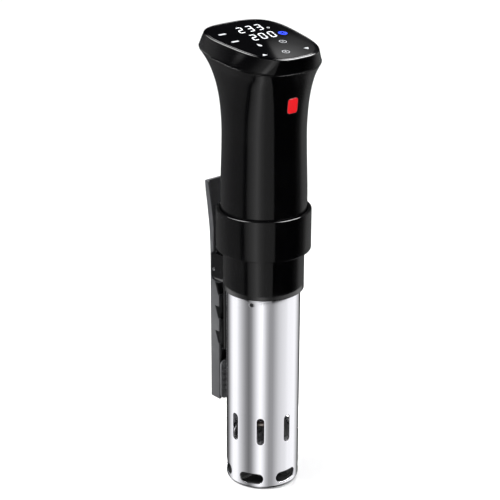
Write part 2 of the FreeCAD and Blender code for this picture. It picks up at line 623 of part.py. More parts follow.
def heater_element():
    """The tubular heater: a coil round the pump tube, whose two ends rise at the back through the plate."""
    low, high = math.atan2(HEATER_LEG_Y, -HEATER_LEG_X), math.atan2(HEATER_LEG_Y, HEATER_LEG_X)
    turns = 9 - (low - high) / (2 * math.pi)
    height = COIL_PITCH * turns
    helix = Part.makeHelix(COIL_PITCH, height, COIL_R)
    rise = COIL_PITCH / (2 * math.pi * COIL_R)
    section = Part.Wire([Part.makeCircle(COIL_WIRE_R, Vector(COIL_R, 0, 0), Vector(0, 1, rise))])
    coil = Part.Wire(helix.Edges).makePipeShell([section], True, True)
    coil.rotate(Vector(0, 0, 0), UP, math.degrees(low))
    coil.translate(Vector(0, 0, COIL_Z0))
    pieces = [coil]
    for turn, x, z in ((low, -HEATER_LEG_X, COIL_Z0), (high, HEATER_LEG_X, COIL_Z0 + height)):
        end = Vector(COIL_R * math.cos(turn), COIL_R * math.sin(turn), z)
        foot = Vector(x, HEATER_LEG_Y, z)
        pieces.append(Part.makeSphere(COIL_WIRE_R, end))
        pieces.append(Part.makeCylinder(COIL_WIRE_R, (foot - end).Length, end, foot - end))
        pieces.append(Part.makeSphere(COIL_WIRE_R, foot))
        pieces.append(post(x, HEATER_LEG_Y, COIL_WIRE_R, z, HEATER_LEG_TOP_Z))
    return joined(pieces)


def heater_ferrules():
    """Hexagonal glands that seal the heater's legs in the base plate."""
    found = []
    for x in (-HEATER_LEG_X, HEATER_LEG_X):
        corners = [Vector(*around(60 * i, x=4.3), 0) for i in range(6)]
        nut = Part.Face(Part.makePolygon(corners + corners[:1])).extrude(Vector(0, 0, 4.5))
        nut = nut.cut(Part.makeCylinder(COIL_WIRE_R, 4.5))
        nut.translate(Vector(x, HEATER_LEG_Y, SPIGOT_Z0))
        found.append(nut)
    return Part.makeCompound(found)


def temperature_probe():
    """The sensor rod with a rounded tip."""
    x, y = around(PROBE_ANGLE, y=-ROD_R)
    rod = Part.makeCylinder(2.0, SPIGOT_Z0 + 8 - 60, Vector(x, y, 60))
    return rod.makeFillet(1.9, [e for e in rod.Edges if e.BoundBox.ZMax < 60.1])


def level_electrodes():
    """Two bare rods that tell whether they stand in water."""
    rods = []
    for angle, foot in zip(ELECTRODE_ANGLES, (92.0, 84.0)):
        x, y = around(angle, y=-ROD_R)
        rod = Part.makeCylinder(1.5, SPIGOT_Z0 + 8 - foot, Vector(x, y, foot))
        rods.append(rod.makeFillet(1.4, [e for e in rod.Edges if e.BoundBox.ZMax < foot + 0.1]))
    return Part.makeCompound(rods)


# ---- sleeve --------------------------------------------------------------------------------------
SLEEVE_PIN_ANGLES = (-60, 60, 180)
ROLL = 3.0  # radius of the sleeve's turned-in foot


def sleeve_blank():
    """The drawn steel tube, with its lower edge rolled inwards."""
    lip_r, lip_z = SLEEVE_R - ROLL, 0.3
    inner = ROLL - SLEEVE_WALL
    at = lambda r, z: Vector(r, 0, z)
    mid = math.sqrt(0.5)
    outer_arc = Part.Arc(
        at(SLEEVE_R, lip_z + ROLL), at(lip_r + ROLL * mid, lip_z + ROLL * (1 - mid)), at(lip_r, lip_z)
    )
    inner_arc = Part.Arc(
        at(lip_r, lip_z + SLEEVE_WALL), at(lip_r + inner * mid, lip_z + ROLL - inner * mid),
        at(SLEEVE_IN, lip_z + ROLL),
    )
    line = lambda p, q: Part.LineSegment(p, q).toShape()
    edges = [
        line(at(SLEEVE_IN, SLEEVE_TOP_Z), at(SLEEVE_R, SLEEVE_TOP_Z)),
        line(at(SLEEVE_R, SLEEVE_TOP_Z), at(SLEEVE_R, lip_z + ROLL)),
        outer_arc.toShape(),
        line(at(lip_r, lip_z), at(lip_r - 0.8, lip_z)),
        line(at(lip_r - 0.8, lip_z), at(lip_r - 0.8, lip_z + SLEEVE_WALL)),
        line(at(lip_r - 0.8, lip_z + SLEEVE_WALL), at(lip_r, lip_z + SLEEVE_WALL)),
        inner_arc.toShape(),
        line(at(SLEEVE_IN, lip_z + ROLL), at(SLEEVE_IN, SLEEVE_TOP_Z)),
    ]
    return Part.Face(Part.Wire(edges)).revolve(Vector(0, 0, 0), UP, 360)


def intake_slot():
    """The cutter for one tall slot at the front."""
    r = INTAKE_W / 2
    shaft = box(-r, r, -SLEEVE_R - 3, -SLEEVE_IN + 3, INTAKE_Z0 + r, INTAKE_Z1 - r)
    middles = (INTAKE_Z0 + r, INTAKE_Z1 - r)
    ends = [Part.makeCylinder(r, 7, Vector(0, -SLEEVE_R - 3, z), AXIS_Y) for z in middles]
    return joined([shaft] + ends)


def outlet_slot():
    """The cutter for one wide low slot at the front: a turned band with round ends."""
    r = OUTLET_H / 2
    half = 11.2
    corners = [Vector(0, -y, z) for y, z in (
        (SLEEVE_R + 3, OUTLET_Z - r), (SLEEVE_R + 3, OUTLET_Z + r),
        (SLEEVE_IN - 3, OUTLET_Z + r), (SLEEVE_IN - 3, OUTLET_Z - r),
    )]
    band = Part.Face(Part.makePolygon(corners + corners[:1])).revolve(Vector(0, 0, 0), UP, 2 * half)
    band.rotate(Vector(0, 0, 0), UP, -half)
    end = Part.makeCylinder(r, 7, Vector(0, -SLEEVE_R - 3, OUTLET_Z), AXIS_Y)
    return joined([band, spun(end, half), spun(end, -half)])


def sleeve():
    """The slotted steel sleeve: eight intake slots, six outlet slots and three pin holes."""
    cuts = [spun(intake_slot(), 45 * i) for i in range(8)]
    cuts += [spun(outlet_slot(), 60 * i) for i in range(6)]
    hole = Part.makeCylinder(1.6, 7, Vector(0, -SLEEVE_R - 3, PIN_HOLE_Z), AXIS_Y)
    cuts += [spun(hole, a) for a in SLEEVE_PIN_ANGLES]
    return less(sleeve_blank(), cuts)


def sleeve_pins():
    """Three rivets in the sleeve's wall that run in the spigot's keyways."""
    pin = Part.makeCylinder(1.6, 2.25, Vector(0, -SLEEVE_R + 0.25, PIN_HOLE_Z), AXIS_Y)
    dimple = Part.makeCylinder(0.8, 0.8, Vector(0, -SLEEVE_R + 0.2, PIN_HOLE_Z), AXIS_Y)
    pin = pin.cut(dimple)
    return Part.makeCompound([spun(pin, a) for a in SLEEVE_PIN_ANGLES])


def foot_cap():
    """The plastic foot inside the rolled edge, pierced for draining."""
    dish = turned([
        (0, 0), (25.4, 0), (25.9, 0.5), (25.9, 1.6), (26.4, 1.6), (28.6, 3.8), (28.6, 4.6), (26.6, 4.6),
        (24.6, 2.4), (0, 2.4),
    ])
    drains = [spun(joined([
        box(-1.6, 1.6, -21, -10, -1, 4),
        Part.makeCylinder(1.6, 5, Vector(0, -21, -1)),
        Part.makeCylinder(1.6, 5, Vector(0, -10, -1)),
    ]), 60 * i + 30) for i in range(6)]
    return less(dish, drains)


# ---- clamp ---------------------------------------------------------------------------------------
TONGUE_R0, TONGUE_R1 = HOUSING_R + 0.45, HOUSING_R + 3.45
CHEEK_IN = 11.2
WAIST_HALF_W = CHEEK_IN - 0.6  # the lever's half width where it passes between the cheeks
CHEEK_Z0, CHEEK_Z1 = 167.2, 190.0
LEVER_IN_Y, LEVER_OUT_Y = 39.1, 50.7
LEVER_WALL = 2.3
SHOULDER_Z0, SHOULDER_Z1 = CHEEK_Z0 - 2.2, CHEEK_Z1 + 1.4  # the lever is narrow between these
CHEEK_OUTLINE = [
    (33.0, CHEEK_Z0), (44.0, CHEEK_Z0), (47.0, CHEEK_Z0 + 1.2), (48.6, CHEEK_Z0 + 4.4), (48.6, PIN_Z + 1.0),
    (46.3, CHEEK_Z1 - 1.2), (45.2, CHEEK_Z1), (33.0, CHEEK_Z1),
]
# what is cut from each side of the lever to clear a cheek, all the way round its swing
CHEEK_ROOM = [
    (30.0, SHOULDER_Z0), (43.6, SHOULDER_Z0), (47.2, SHOULDER_Z0 + 1.4), (48.9, SHOULDER_Z0 + 4.4),
    (48.9, SHOULDER_Z1 - 2.4), (46.2, SHOULDER_Z1), (30.0, SHOULDER_Z1),
]
NOTCH_TOPS = (SHOULDER_Z0, SHOULDER_Z0 - 21.2, SHOULDER_Z0 - 43.6)
SPRING_R, SPRING_WIRE = 2.3, 0.5


def clamp_collar():
    """The collar that swivels on the lower housing, its long inner jaw and the two hinge cheeks."""
    bore_r = HOUSING_R + 0.25
    outline = [
        (bore_r, CLIP_Z1 + 0.3), (34.5, CLIP_Z1 + 0.3), (34.5, COLLAR_Z0), (COLLAR_R - 1.2, COLLAR_Z0),
        (COLLAR_R - 0.3, COLLAR_Z0 + 0.4), (COLLAR_R, COLLAR_Z0 + 1.2), (COLLAR_R, COLLAR_Z1 - 0.9),
        (COLLAR_R - 0.3, COLLAR_Z1 - 0.25), (COLLAR_R - 0.9, COLLAR_Z1), (35.1, COLLAR_Z1),
        (35.1, HOUSING_TOP_Z - 0.4), (bore_r, HOUSING_TOP_Z - 0.4),
    ]
    band = turned(outline)
    tongue = tube(TONGUE_R1, TONGUE_R0, TONGUE_Z0, COLLAR_Z0 + 3)
    tongue = tongue.common(box(-LEVER_HALF_W, LEVER_HALF_W, 0, 60, TONGUE_Z0, COLLAR_Z0 + 3))
    tongue = less(tongue, [tube(34.5, HOUSING_R, COLLAR_Z0, CLIP_Z1 + 0.3)])
    cheek = across(CHEEK_OUTLINE, CHEEK_IN, LEVER_HALF_W).cut(tube(TONGUE_R0, 0, 100, 240))
    rest_z = PIN_Z - SPRING_R - SPRING_WIRE
    web = box(-CHEEK_IN, CHEEK_IN, 33.0, 38.4, rest_z - 2.5, rest_z).cut(tube(TONGUE_R0, 0, 100, 240))
    body = joined([band, tongue, cheek, cheek.mirror(Vector(0, 0, 0), AXIS_X), web])
    bore = Part.makeCylinder(1.5, 40, Vector(-20, PIN_Y, PIN_Z), AXIS_X)
    return body.cut(bore)


def hinge_pin():
    """The clamp's steel pin, with domed ends."""
    pin = Part.makeCylinder(1.5, 29.2, Vector(-14.6, PIN_Y, PIN_Z), AXIS_X)
    return pin.makeFillet(0.5, [e for e in pin.Edges if e.BoundBox.XLength < 0.01])


# the lever's side outline as (y, z) points: down the outside and round the foot, then up the inside
LEVER_OUTSIDE = [
    (57.0, LEVER_Z1 - 1.0), (56.3, 241), (54.7, 232), (53.1, 221), (51.7, 210), (51.1, 199), (LEVER_OUT_Y, 188),
    (LEVER_OUT_Y, LEVER_Z0 + 1.5), (LEVER_OUT_Y - 1.2, LEVER_Z0),
]
LEVER_INSIDE = [
    (LEVER_IN_Y, LEVER_Z0), (LEVER_IN_Y, SHOULDER_Z0), (LEVER_IN_Y + 2.6, SHOULDER_Z0 + 4), (45.8, SHOULDER_Z1),
    (45.8, 214), (48.9, 234), (51.2, 245), (52.3, LEVER_Z1), (56.2, LEVER_Z1),
]


def lever_envelope():
    """The lever's full width, with room for a cheek cut from each side."""
    full = side_profile(LEVER_OUTSIDE + LEVER_INSIDE, LEVER_HALF_W)
    return less(full, [across(CHEEK_ROOM, WAIST_HALF_W, 20), across(CHEEK_ROOM, -20, -WAIST_HALF_W)])


def clamp_lever():
    """The outer jaw and thumb tab in one channel-shaped lever, notched along both flanges."""
    body = lever_envelope()
    floor_z = LEVER_Z0 + LEVER_WALL
    back = [(y - LEVER_WALL, z) for y, z in LEVER_OUTSIDE[:7]] + [(LEVER_OUT_Y - LEVER_WALL, floor_z)]
    front = [(30, floor_z), (30, 170), (40, 200), (44, 214), (47, 234), (50, LEVER_Z1 - 1)]
    core = side_profile(back + front, LEVER_HALF_W - LEVER_WALL)
    waist = box(-LEVER_HALF_W, LEVER_HALF_W, 30, 60, SHOULDER_Z0 - LEVER_WALL, SHOULDER_Z1 + LEVER_WALL)
    eye_in = WAIST_HALF_W - LEVER_WALL
    narrow = box(-eye_in, eye_in, 30, LEVER_OUT_Y - LEVER_WALL, 100, 200)
    hollow = core.cut(waist).fuse(core.common(waist).common(narrow))
    body = body.cut(hollow)
    eyes = Part.makeCylinder(4.6, 2 * WAIST_HALF_W, Vector(-WAIST_HALF_W, PIN_Y, PIN_Z), AXIS_X)
    eyes = eyes.cut(box(-eye_in, eye_in, 30, 60, 150, 200))
    ribs = [box(-12, 12, 44.6, 49.0, z, z + 1.6) for z in (100.0, 126.5, 149.2)]
    stop = box(-2.0, 2.0, TONGUE_R1 + 0.35, 49.0, 146.0, 158.0)
    spine = box(-0.9, 0.9, 46.5, 49.0, 66, 168)
    body = joined([body, eyes, stop, spine] + ribs)
    notches = []
    for top in NOTCH_TOPS:
        tooth = [(38.0, top + 0.4), (44.2, top), (40.2, top - 11.0), (38.0, top - 11.0)]
        notches.append(side_profile(tooth, LEVER_HALF_W + 1).cut(box(-11.4, 11.4, 30, 60, 60, 200)))
    bore = Part.makeCylinder(1.56, 40, Vector(-20, PIN_Y, PIN_Z), AXIS_X)
    return less(body, notches + [bore])


def lever_pad():
    """The ribbed rubber pad that presses the pot's wall, with a plug into the lever's channel."""
    half, z0, z1 = 13.4, LEVER_Z0 + 0.2, 94.6
    plate = box(-half, half, 37.5, LEVER_IN_Y, z0, z1)
    upright = [e for e in plate.Edges if abs(e.tangentAt(e.FirstParameter).y) > 0.99]
    plate = plate.makeFillet(4.5, upright)
    face = box(-half + 1.2, half - 1.2, 36.7, 37.5, z0 + 1.2, z1 - 1.2)
    upright = [e for e in face.Edges if abs(e.tangentAt(e.FirstParameter).y) > 0.99]
    face = face.makeFillet(3.6, upright)
    grooves = [box(-half + 3.4, half - 3.4, 36, 37.3, z, z + 1.5) for z in (66.0, 71.2, 76.4, 81.6, 86.8)]
    plug = box(-10.5, 10.5, LEVER_IN_Y, 43.5, z0 + 4, z1 - 4)
    return joined([plate, less(face, grooves), plug])


def torsion_spring():
    """The clamp's wound spring, one leg on the collar's bridge and the other against the lever."""
    pitch, turns = 1.6, 4.25
    helix = Part.makeHelix(pitch, pitch * turns, SPRING_R)
    section = Part.Wire([Part.makeCircle(SPRING_WIRE, Vector(SPRING_R, 0, 0), AXIS_Y)])
    coil = Part.Wire(helix.Edges).makePipeShell([section], True, True)
    coil.translate(Vector(0, 0, -pitch * turns / 2))
    coil.rotate(Vector(0, 0, 0), AXIS_Y, 90)
    coil.translate(Vector(0, PIN_Y, PIN_Z))
    x = pitch * turns / 2
    start, end = Vector(-x, PIN_Y, PIN_Z - SPRING_R), Vector(x, PIN_Y + SPRING_R, PIN_Z)
    legs = [Part.makeSphere(SPRING_WIRE, p) for p in (start, end)]
    legs.append(Part.makeCylinder(SPRING_WIRE, 8.2, start, Vector(0, -1, 0)))
    legs.append(Part.makeCylinder(SPRING_WIRE, 13.0, end, UP))
    return joined([coil] + legs)


# ---- build ---------------------------------------------------------------------------------------
NODES = [
    upper_shell, head_bezel, touch_lens, lens_gasket, control_board, led_display, touch_springs, buzzer,
    board_posts, board_screws, indicator_lens, indicator_lamp, power_board, power_transformer,
    filter_capacitor, power_relay, heat_sink, ribbon_cable, heater_leads, cord_gland, lower_housing,
    shell_screws, sleeve_spigot, spigot_screws, sleeve_o_ring, collar_friction_ring,
    collar_retaining_clip, motor_mount, mount_screws, motor_screws, motor_can, motor_magnets,
    motor_end_bell, rotor_shaft, rotor_core, shaft_coupling, drive_shaft, impeller_clip, impeller,
    base_plate, plate_screws, pump_tube, pump_cowl, shaft_bushes, shaft_seal, heater_element,
    heater_ferrules, temperature_probe, level_electrodes, sleeve, sleeve_pins, foot_cap, clamp_collar,
    hinge_pin, clamp_lever, lever_pad, torsion_spring,
]

for make in NODES:
    shape = make()
    solids = shape.Solids
    sound = shape.isValid() and solids and all(s.Volume > 0 for s in solids)
    verdict = "" if sound else "NOT SOUND"
    print(f"{make.__name__:24s} solids {len(solids):2d} volume {shape.Volume:10.1f} {verdict}")
    shape = solids[0] if len(solids) == 1 else Part.makeCompound(solids)
    shape.exportStep(f"parts/{make.__name__}.step")
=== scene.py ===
"""Looks of a sous vide circulator: a glossy black handle with a lit touch panel, a swivelling pot clamp and a
slotted steel sleeve over the heater and the pump.

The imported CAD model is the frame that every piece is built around. Lengths are in metres, in the frame's own
axes: +Z up the pump shaft from the centre of the foot, -Y towards the panel's reader, +Y towards the clamp.
"""

import json
import logging
import math
from dataclasses import dataclass
from enum import Enum
from typing import Any, Callable, Sequence

import bmesh
import bpy
import numpy as np
from mathutils import Matrix, Vector


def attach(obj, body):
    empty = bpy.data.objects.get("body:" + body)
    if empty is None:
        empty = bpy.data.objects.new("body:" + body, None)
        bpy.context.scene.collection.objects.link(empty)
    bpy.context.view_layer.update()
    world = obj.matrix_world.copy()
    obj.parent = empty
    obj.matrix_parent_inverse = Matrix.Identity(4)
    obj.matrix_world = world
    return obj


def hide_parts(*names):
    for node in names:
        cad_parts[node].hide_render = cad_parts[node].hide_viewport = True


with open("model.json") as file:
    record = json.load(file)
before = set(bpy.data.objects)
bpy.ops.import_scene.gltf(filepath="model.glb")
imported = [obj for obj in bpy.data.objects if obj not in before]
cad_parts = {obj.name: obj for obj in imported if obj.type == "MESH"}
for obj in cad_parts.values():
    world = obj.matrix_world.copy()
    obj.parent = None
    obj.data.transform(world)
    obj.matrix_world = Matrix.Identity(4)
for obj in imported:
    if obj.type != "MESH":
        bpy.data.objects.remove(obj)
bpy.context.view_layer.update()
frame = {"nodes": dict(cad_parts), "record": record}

MM = 0.001
LOG = logging.getLogger("circulator")

Array = np.ndarray
Colour = tuple[float, float, float]


# ---------------------------------------------------------------------------------------------
# Shapes as arrays
# ---------------------------------------------------------------------------------------------
def turns(count: int) -> Array:
    """Angles spread evenly round a full turn, without the last one.

    Args:
        count: how many angles.

    Returns:
        The angles in radians.
    """
    return np.linspace(0.0, 2 * math.pi, count, endpoint=False)


def smooth_through(at: Array, stations: Array, values: Array) -> Array:
    """A cubic Hermite curve through stations: h00 v0 + h10 d m0 + h01 v1 + h11 d m1, slopes by differences.

    Args:
        at: where the curve is wanted.
        stations: rising places of the known values.
        values: the known values.

    Returns:
        The curve's value at each place.
    """
    slopes = np.gradient(values, stations)
    i = np.clip(np.searchsorted(stations, at, side="right") - 1, 0, len(stations) - 2)
    d = stations[i + 1] - stations[i]
    t = (at - stations[i]) / d
    rise = (3 - 2 * t) * t * t
    ease_in, ease_out = t * (1 - t) ** 2, t * t * (t - 1)
    bend = slopes[i] * ease_in + slopes[i + 1] * ease_out
    return values[i] * (1 - rise) + values[i + 1] * rise + d * bend


def rounded_outline(corners: Sequence[tuple[float, float, float]], steps: int = 6) -> Array:
    """A closed outline whose corners are arcs: each starts r / tan(half the corner's angle) before its point.

    Args:
        corners: x, y and radius of each corner, in order.
        steps: how many points an arc has.

    Returns:
        The outline's points, two columns.
    """
    found = []
    spots = np.array([c[:2] for c in corners], float)
    for i, (x, y, radius) in enumerate(corners):
        here = spots[i]
        if radius <= 0:
            found.append(here[None])
            continue
        back, on = spots[i - 1] - here, spots[(i + 1) % len(spots)] - here
        back, on = back / np.linalg.norm(back), on / np.linalg.norm(on)
        half = math.acos(float(np.clip(back @ on, -1, 1))) / 2
        middle = (back + on) / np.linalg.norm(back + on)
        centre = here + middle * radius / math.sin(half)
        start, end = here + back * radius / math.tan(half), here + on * radius / math.tan(half)
        share = np.linspace(0, 1, steps)[:, None]
        arc = start * (1 - share) + end * share - centre
        found.append(centre + arc / np.linalg.norm(arc, axis=1, keepdims=True) * radius)
    return np.vstack(found)


def rounded_rectangle(width: float, height: float, radius: float, steps: int = 8) -> Array:
    """A rectangle about the origin with four equal round corners.

    Args:
        width: half its size along the first axis.
        height: half its size along the second axis.
        radius: of the corners.
        steps: how many points a corner has.

    Returns:
        The outline's points, two columns, anticlockwise.
    """
    corner = np.linspace(0, math.pi / 2, steps)
    radius = max(radius, 1e-7)
    arcs = []
    for quarter, (sx, sy) in enumerate(((1, 1), (-1, 1), (-1, -1), (1, -1))):
        turn = corner + quarter * math.pi / 2
        arcs.append(np.stack([sx * (width - radius) + radius * np.cos(turn),
                              sy * (height - radius) + radius * np.sin(turn)], 1))
    return np.vstack(arcs)


def drawn_in(outline: Array, depth: float) -> Array:
    """A closed anticlockwise outline with each point moved inwards along the mean normal of its two sides.

    Args:
        outline: the outline's points, two columns.
        depth: how far in.

    Returns:
        The smaller outline.
    """
    side = np.roll(outline, -1, 0) - outline
    length = np.linalg.norm(side, axis=1, keepdims=True)
    normal = np.stack([-side[:, 1], side[:, 0]], 1) / np.maximum(length, 1e-9)
    both = normal + np.roll(normal, 1, 0)
    return outline + both / np.maximum((both**2).sum(1, keepdims=True) / 2, 0.5) * depth


@dataclass(frozen=True)
class Rings:
    """A stack of tilted superellipses |x/a|^n + |v/b|^n = 1, widened to the back by their taper.

    Each field is an array with one entry for each ring.
    """

    a: Array
    b: Array
    n: Array
    y: Array
    z: Array
    tilt: Array
    taper: Array

    def points(self, count: int, grow: Array | float = 0.0, lift: Array | float = 0.0,
               scale: Array | float = 1.0) -> Array:
        """Points round each ring: radius (|cos/a|^n + |sin/b|^n)^(-1/n), widened by 1 + taper v/b and tilted.

        Args:
            count: points round each ring.
            grow: what a and b grow by, for each ring.
            lift: how far each ring moves along its own normal.
            scale: what each ring shrinks to about its centre.

        Returns:
            An array of rings by count by 3.
        """
        turn = turns(count)[None]
        a, b, n = (np.broadcast_to(v, self.z.shape)[:, None] for v in (self.a + grow, self.b + grow, self.n))
        away, scale = (np.broadcast_to(v, self.z.shape)[:, None] for v in (lift, scale))
        radius = (np.abs(np.cos(turn) / a) ** n + np.abs(np.sin(turn) / b) ** n) ** (-1 / n) * scale
        lean = np.radians(self.tilt)[:, None]
        along = radius * np.sin(turn)
        return np.stack([
            radius * np.cos(turn) * (1 + self.taper[:, None] * along / b),
            self.y[:, None] + along * np.cos(lean) - away * np.sin(lean),
            self.z[:, None] + along * np.sin(lean) + away * np.cos(lean),
        ], -1)

    def between(self, other: "Rings", share: Array) -> "Rings":
        """Rings part of the way from this single ring to another single one.

        Args:
            other: the ring at share 1.
            share: how far along each new ring is.

        Returns:
            The new stack.
        """
        mix = [p + (q - p) * share for p, q in zip(self.values(), other.values())]
        return Rings(*mix)

    def values(self) -> tuple[Array, ...]:
        """The arrays in the order of the fields."""
        return self.a, self.b, self.n, self.y, self.z, self.tilt, self.taper


class Shell:
    """Gathers grids of points and their faces, and makes one mesh piece of them."""

    def __init__(self) -> None:
        """Starts with no points."""
        self.points: list[Array] = []
        self.faces: list[Array] = []
        self.total = 0

    def add(self, points: Array) -> Array:
        """Adds points and returns their numbers in the same layout.

        Args:
            points: any array of points whose last axis is x, y, z.

        Returns:
            The points' numbers, in the same layout.
        """
        self.points.append(points.reshape(-1, 3))
        numbers = self.total + np.arange(points[..., 0].size).reshape(points.shape[:-1])
        self.total += numbers.size
        return numbers

    def grid(self, points: Array, wrap_rows: bool = False, wrap_columns: bool = True) -> Array:
        """A sheet of quads over rows by columns of points.

        Args:
            points: rows by columns by 3.
            wrap_rows: whether the last row joins the first.
            wrap_columns: whether the last column joins the first.

        Returns:
            The points' numbers, rows by columns.
        """
        numbers = self.add(points)
        rows = np.vstack([numbers, numbers[:1]]) if wrap_rows else numbers
        cells = np.hstack([rows, rows[:, :1]]) if wrap_columns else rows
        corners = [cells[:-1, :-1], cells[:-1, 1:], cells[1:, 1:], cells[1:, :-1]]
        self.faces.append(np.stack(corners, -1).reshape(-1, 4))
        return numbers

    def fan(self, ring: Array, centre: Array) -> None:
        """Triangles from a ring of numbered points to one more point.

        Args:
            ring: the numbers round the ring.
            centre: the place of the pole.
        """
        pole = self.add(np.asarray(centre, float).reshape(1, 3))[0]
        self.faces.append(np.stack([ring, np.roll(ring, -1), np.full_like(ring, pole)], -1))

    def lathe(self, outline: Array, count: int, axis: str = "Z", centre: Sequence[float] = (0, 0, 0),
              wave: Callable[[Array, Array], Array] | None = None) -> None:
        """Turns a closed outline of (radius, height) points about an axis: x = r sin, y = -r cos, z = h.

        Args:
            outline: the closed outline.
            count: steps round the turn.
            axis: the axis that it turns about.
            centre: a point on that axis.
            wave: if given, changes the radius from the outline's points and the angle.
        """
        turn = turns(count)[None]
        radius = outline[:, :1] if wave is None else wave(outline, turn)
        height = np.broadcast_to(outline[:, 1:], (len(outline), count))
        p, q = radius * np.sin(turn), -radius * np.cos(turn)
        order = {"Z": (p, q, height), "Y": (p, height, -q), "X": (height, p, q)}[axis]
        self.grid(np.stack(order, -1) + np.asarray(centre, float), wrap_rows=True)

    def slab(self, outline: Array, low: float, high: float, edge: float, place: Callable[[Array], Array],
             rings: int = 6) -> None:
        """A cushion-edged plate: its outline is drawn in by e(1 - cos), while the depth runs by e(1 - sin).

        Args:
            outline: the closed convex outline, two columns, anticlockwise.
            low: where its first face is, along its third axis.
            high: where its second face is.
            edge: radius of the rounding between its faces and its side.
            place: moves local points (n by 3) into the frame.
            rings: rings of points on each face.
        """
        bend = np.linspace(0, math.pi / 2, 5)
        inset, depth = edge * (1 - np.cos(bend)), edge * (1 - np.sin(bend))
        inset = np.concatenate([inset[::-1], inset])
        height = np.concatenate([low + depth[::-1], high - depth])
        middle = outline.mean(0)
        face = middle + (drawn_in(outline, edge) - middle) * np.linspace(0, 1, rings + 1)[1:-1, None, None]
        sides = np.stack([drawn_in(outline, d) for d in inset])
        flat = np.concatenate([face, sides, face[::-1]])
        height = np.concatenate([np.full(len(face), low), height, np.full(len(face), high)])
        local = np.concatenate([flat, np.broadcast_to(height[:, None, None], (*flat.shape[:2], 1))], -1)
        numbers = self.grid(place(local.reshape(-1, 3)).reshape(local.shape))
        poles = place(np.array([[*middle, low], [*middle, high]]))
        self.fan(numbers[0], poles[0])
        self.fan(numbers[-1], poles[1])

    def plate(self, outline: Array, low: float, high: float, place: Callable[[Array], Array]) -> None:
        """A flat prism on a closed outline, between two heights.

        Args:
            outline: the closed outline, two columns.
            low: height of the underside.
            high: height of the top.
            place: moves local points into the frame.
        """
        rows = np.stack([np.column_stack([outline, np.full(len(outline), h)]) for h in (low, high)])
        numbers = self.grid(place(rows.reshape(-1, 3)).reshape(rows.shape))
        self.faces += [numbers[:1, ::-1], numbers[1:]]

    def band(self, outer: Array, inner: Array, low: float, high: float,
             place: Callable[[Array], Array]) -> None:
        """A flat ring between two closed outlines with equally many points.

        Args:
            outer: the outer outline, two columns.
            inner: the inner outline.
            low: height of the underside.
            high: height of the top.
            place: moves local points into the frame.
        """
        loops = ((outer, low), (outer, high), (inner, high), (inner, low))
        rows = np.stack([np.column_stack([o, np.full(len(o), h)]) for o, h in loops])
        self.grid(place(rows.reshape(-1, 3)).reshape(rows.shape), wrap_rows=True)

    def piece(self, name: str, finish: bpy.types.Material, body: str,
              stands_for: Sequence[str] = (),
              crease: float = 32.0) -> bpy.types.Object:
        """Makes the mesh, merges its doubles, turns its faces outwards and fixes it to a body.

        Args:
            name: the piece's name.
            finish: its material.
            body: the CAD body that it moves with.
            stands_for: the CAD nodes that it is shown in place of.
            crease: edges sharper than this many degrees stay sharp.

        Returns:
            The new object.
        """
        mesh = bpy.data.meshes.new(name)
        faces = [face for block in self.faces for face in block.tolist()]
        mesh.from_pydata(np.vstack(self.points).tolist(), [], faces)
        form = bmesh.new()
        form.from_mesh(mesh)
        bmesh.ops.remove_doubles(form, verts=form.verts, dist=1e-6)
        bmesh.ops.dissolve_degenerate(form, edges=form.edges, dist=1e-7)
        bmesh.ops.recalc_face_normals(form, faces=form.faces)
        form.to_mesh(mesh)
        form.free()
        mesh.shade_smooth()
        mesh.set_sharp_from_angle(angle=math.radians(crease))
        mesh.materials.append(finish)
        obj = bpy.data.objects.new(name, mesh)
        bpy.context.scene.collection.objects.link(obj)
        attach(obj, body)
        if stands_for:
            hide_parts(*stands_for)
        LOG.info("%s: %d faces on %s", name, len(mesh.polygons), body)
        return obj


def shifted(x: float, y: float, z: float, order: str = "XYZ") -> Callable[[Array], Array]:
    """A move for Shell's tools: local axes go to the frame's axes in the given order, then to a place.

    Args:
        x: the place along X.
        y: the place along Y.
        z: the place along Z.
        order: which frame axis each local axis becomes.

    Returns:
        A function from local points to points in the frame.
    """
    columns = [order.index(axis) for axis in "XYZ"]
    return lambda points: points[:, columns] + np.array([x, y, z])


# ---------------------------------------------------------------------------------------------
# Shader arithmetic
# ---------------------------------------------------------------------------------------------
class Value:
    """A node's output that takes part in Python arithmetic, each operator adding one Math node."""

    def __init__(self, graph: "Graph", socket: bpy.types.NodeSocket) -> None:
        """Keeps the graph and the output socket."""
        self.graph = graph
        self.socket = socket

    def math(self, operation: str, *others: Any, clamp: bool = False) -> "Value":
        """This value and up to two more through one Math node.

        Args:
            operation: the Math node's operation.
            others: values or numbers for its other inputs.
            clamp: whether the result is held between 0 and 1.

        Returns:
            The result.
        """
        inputs = {i: v for i, v in enumerate((self, *others))}
        return self.graph.value("ShaderNodeMath", {"operation": operation, "use_clamp": clamp}, inputs)

    def __add__(self, other: Any) -> "Value":
        """Sum."""
        return self.math("ADD", other)

    __radd__ = __add__

    def __sub__(self, other: Any) -> "Value":
        """Difference."""
        return self.math("SUBTRACT", other)

    def __rsub__(self, other: Any) -> "Value":
        """Difference from a number."""
        return self.math("MULTIPLY", -1.0) + other

    def __mul__(self, other: Any) -> "Value":
        """Product."""
        return self.math("MULTIPLY", other)

    __rmul__ = __mul__

    def __truediv__(self, other: Any) -> "Value":
        """Quotient."""
        return self.math("DIVIDE", other)

    def __pow__(self, other: Any) -> "Value":
        """Power."""
        return self.math("POWER", other)

    def step(self, low: float, high: float) -> "Value":
        """0 below low, 1 above high and a smooth rise between.

        Args:
            low: where the rise starts.
            high: where it ends.

        Returns:
            The mask.
        """
        settings = {"interpolation_type": "SMOOTHSTEP"}
        inputs = {"Value": self, "From Min": low, "From Max": high}
        return self.graph.value("ShaderNodeMapRange", settings, inputs)


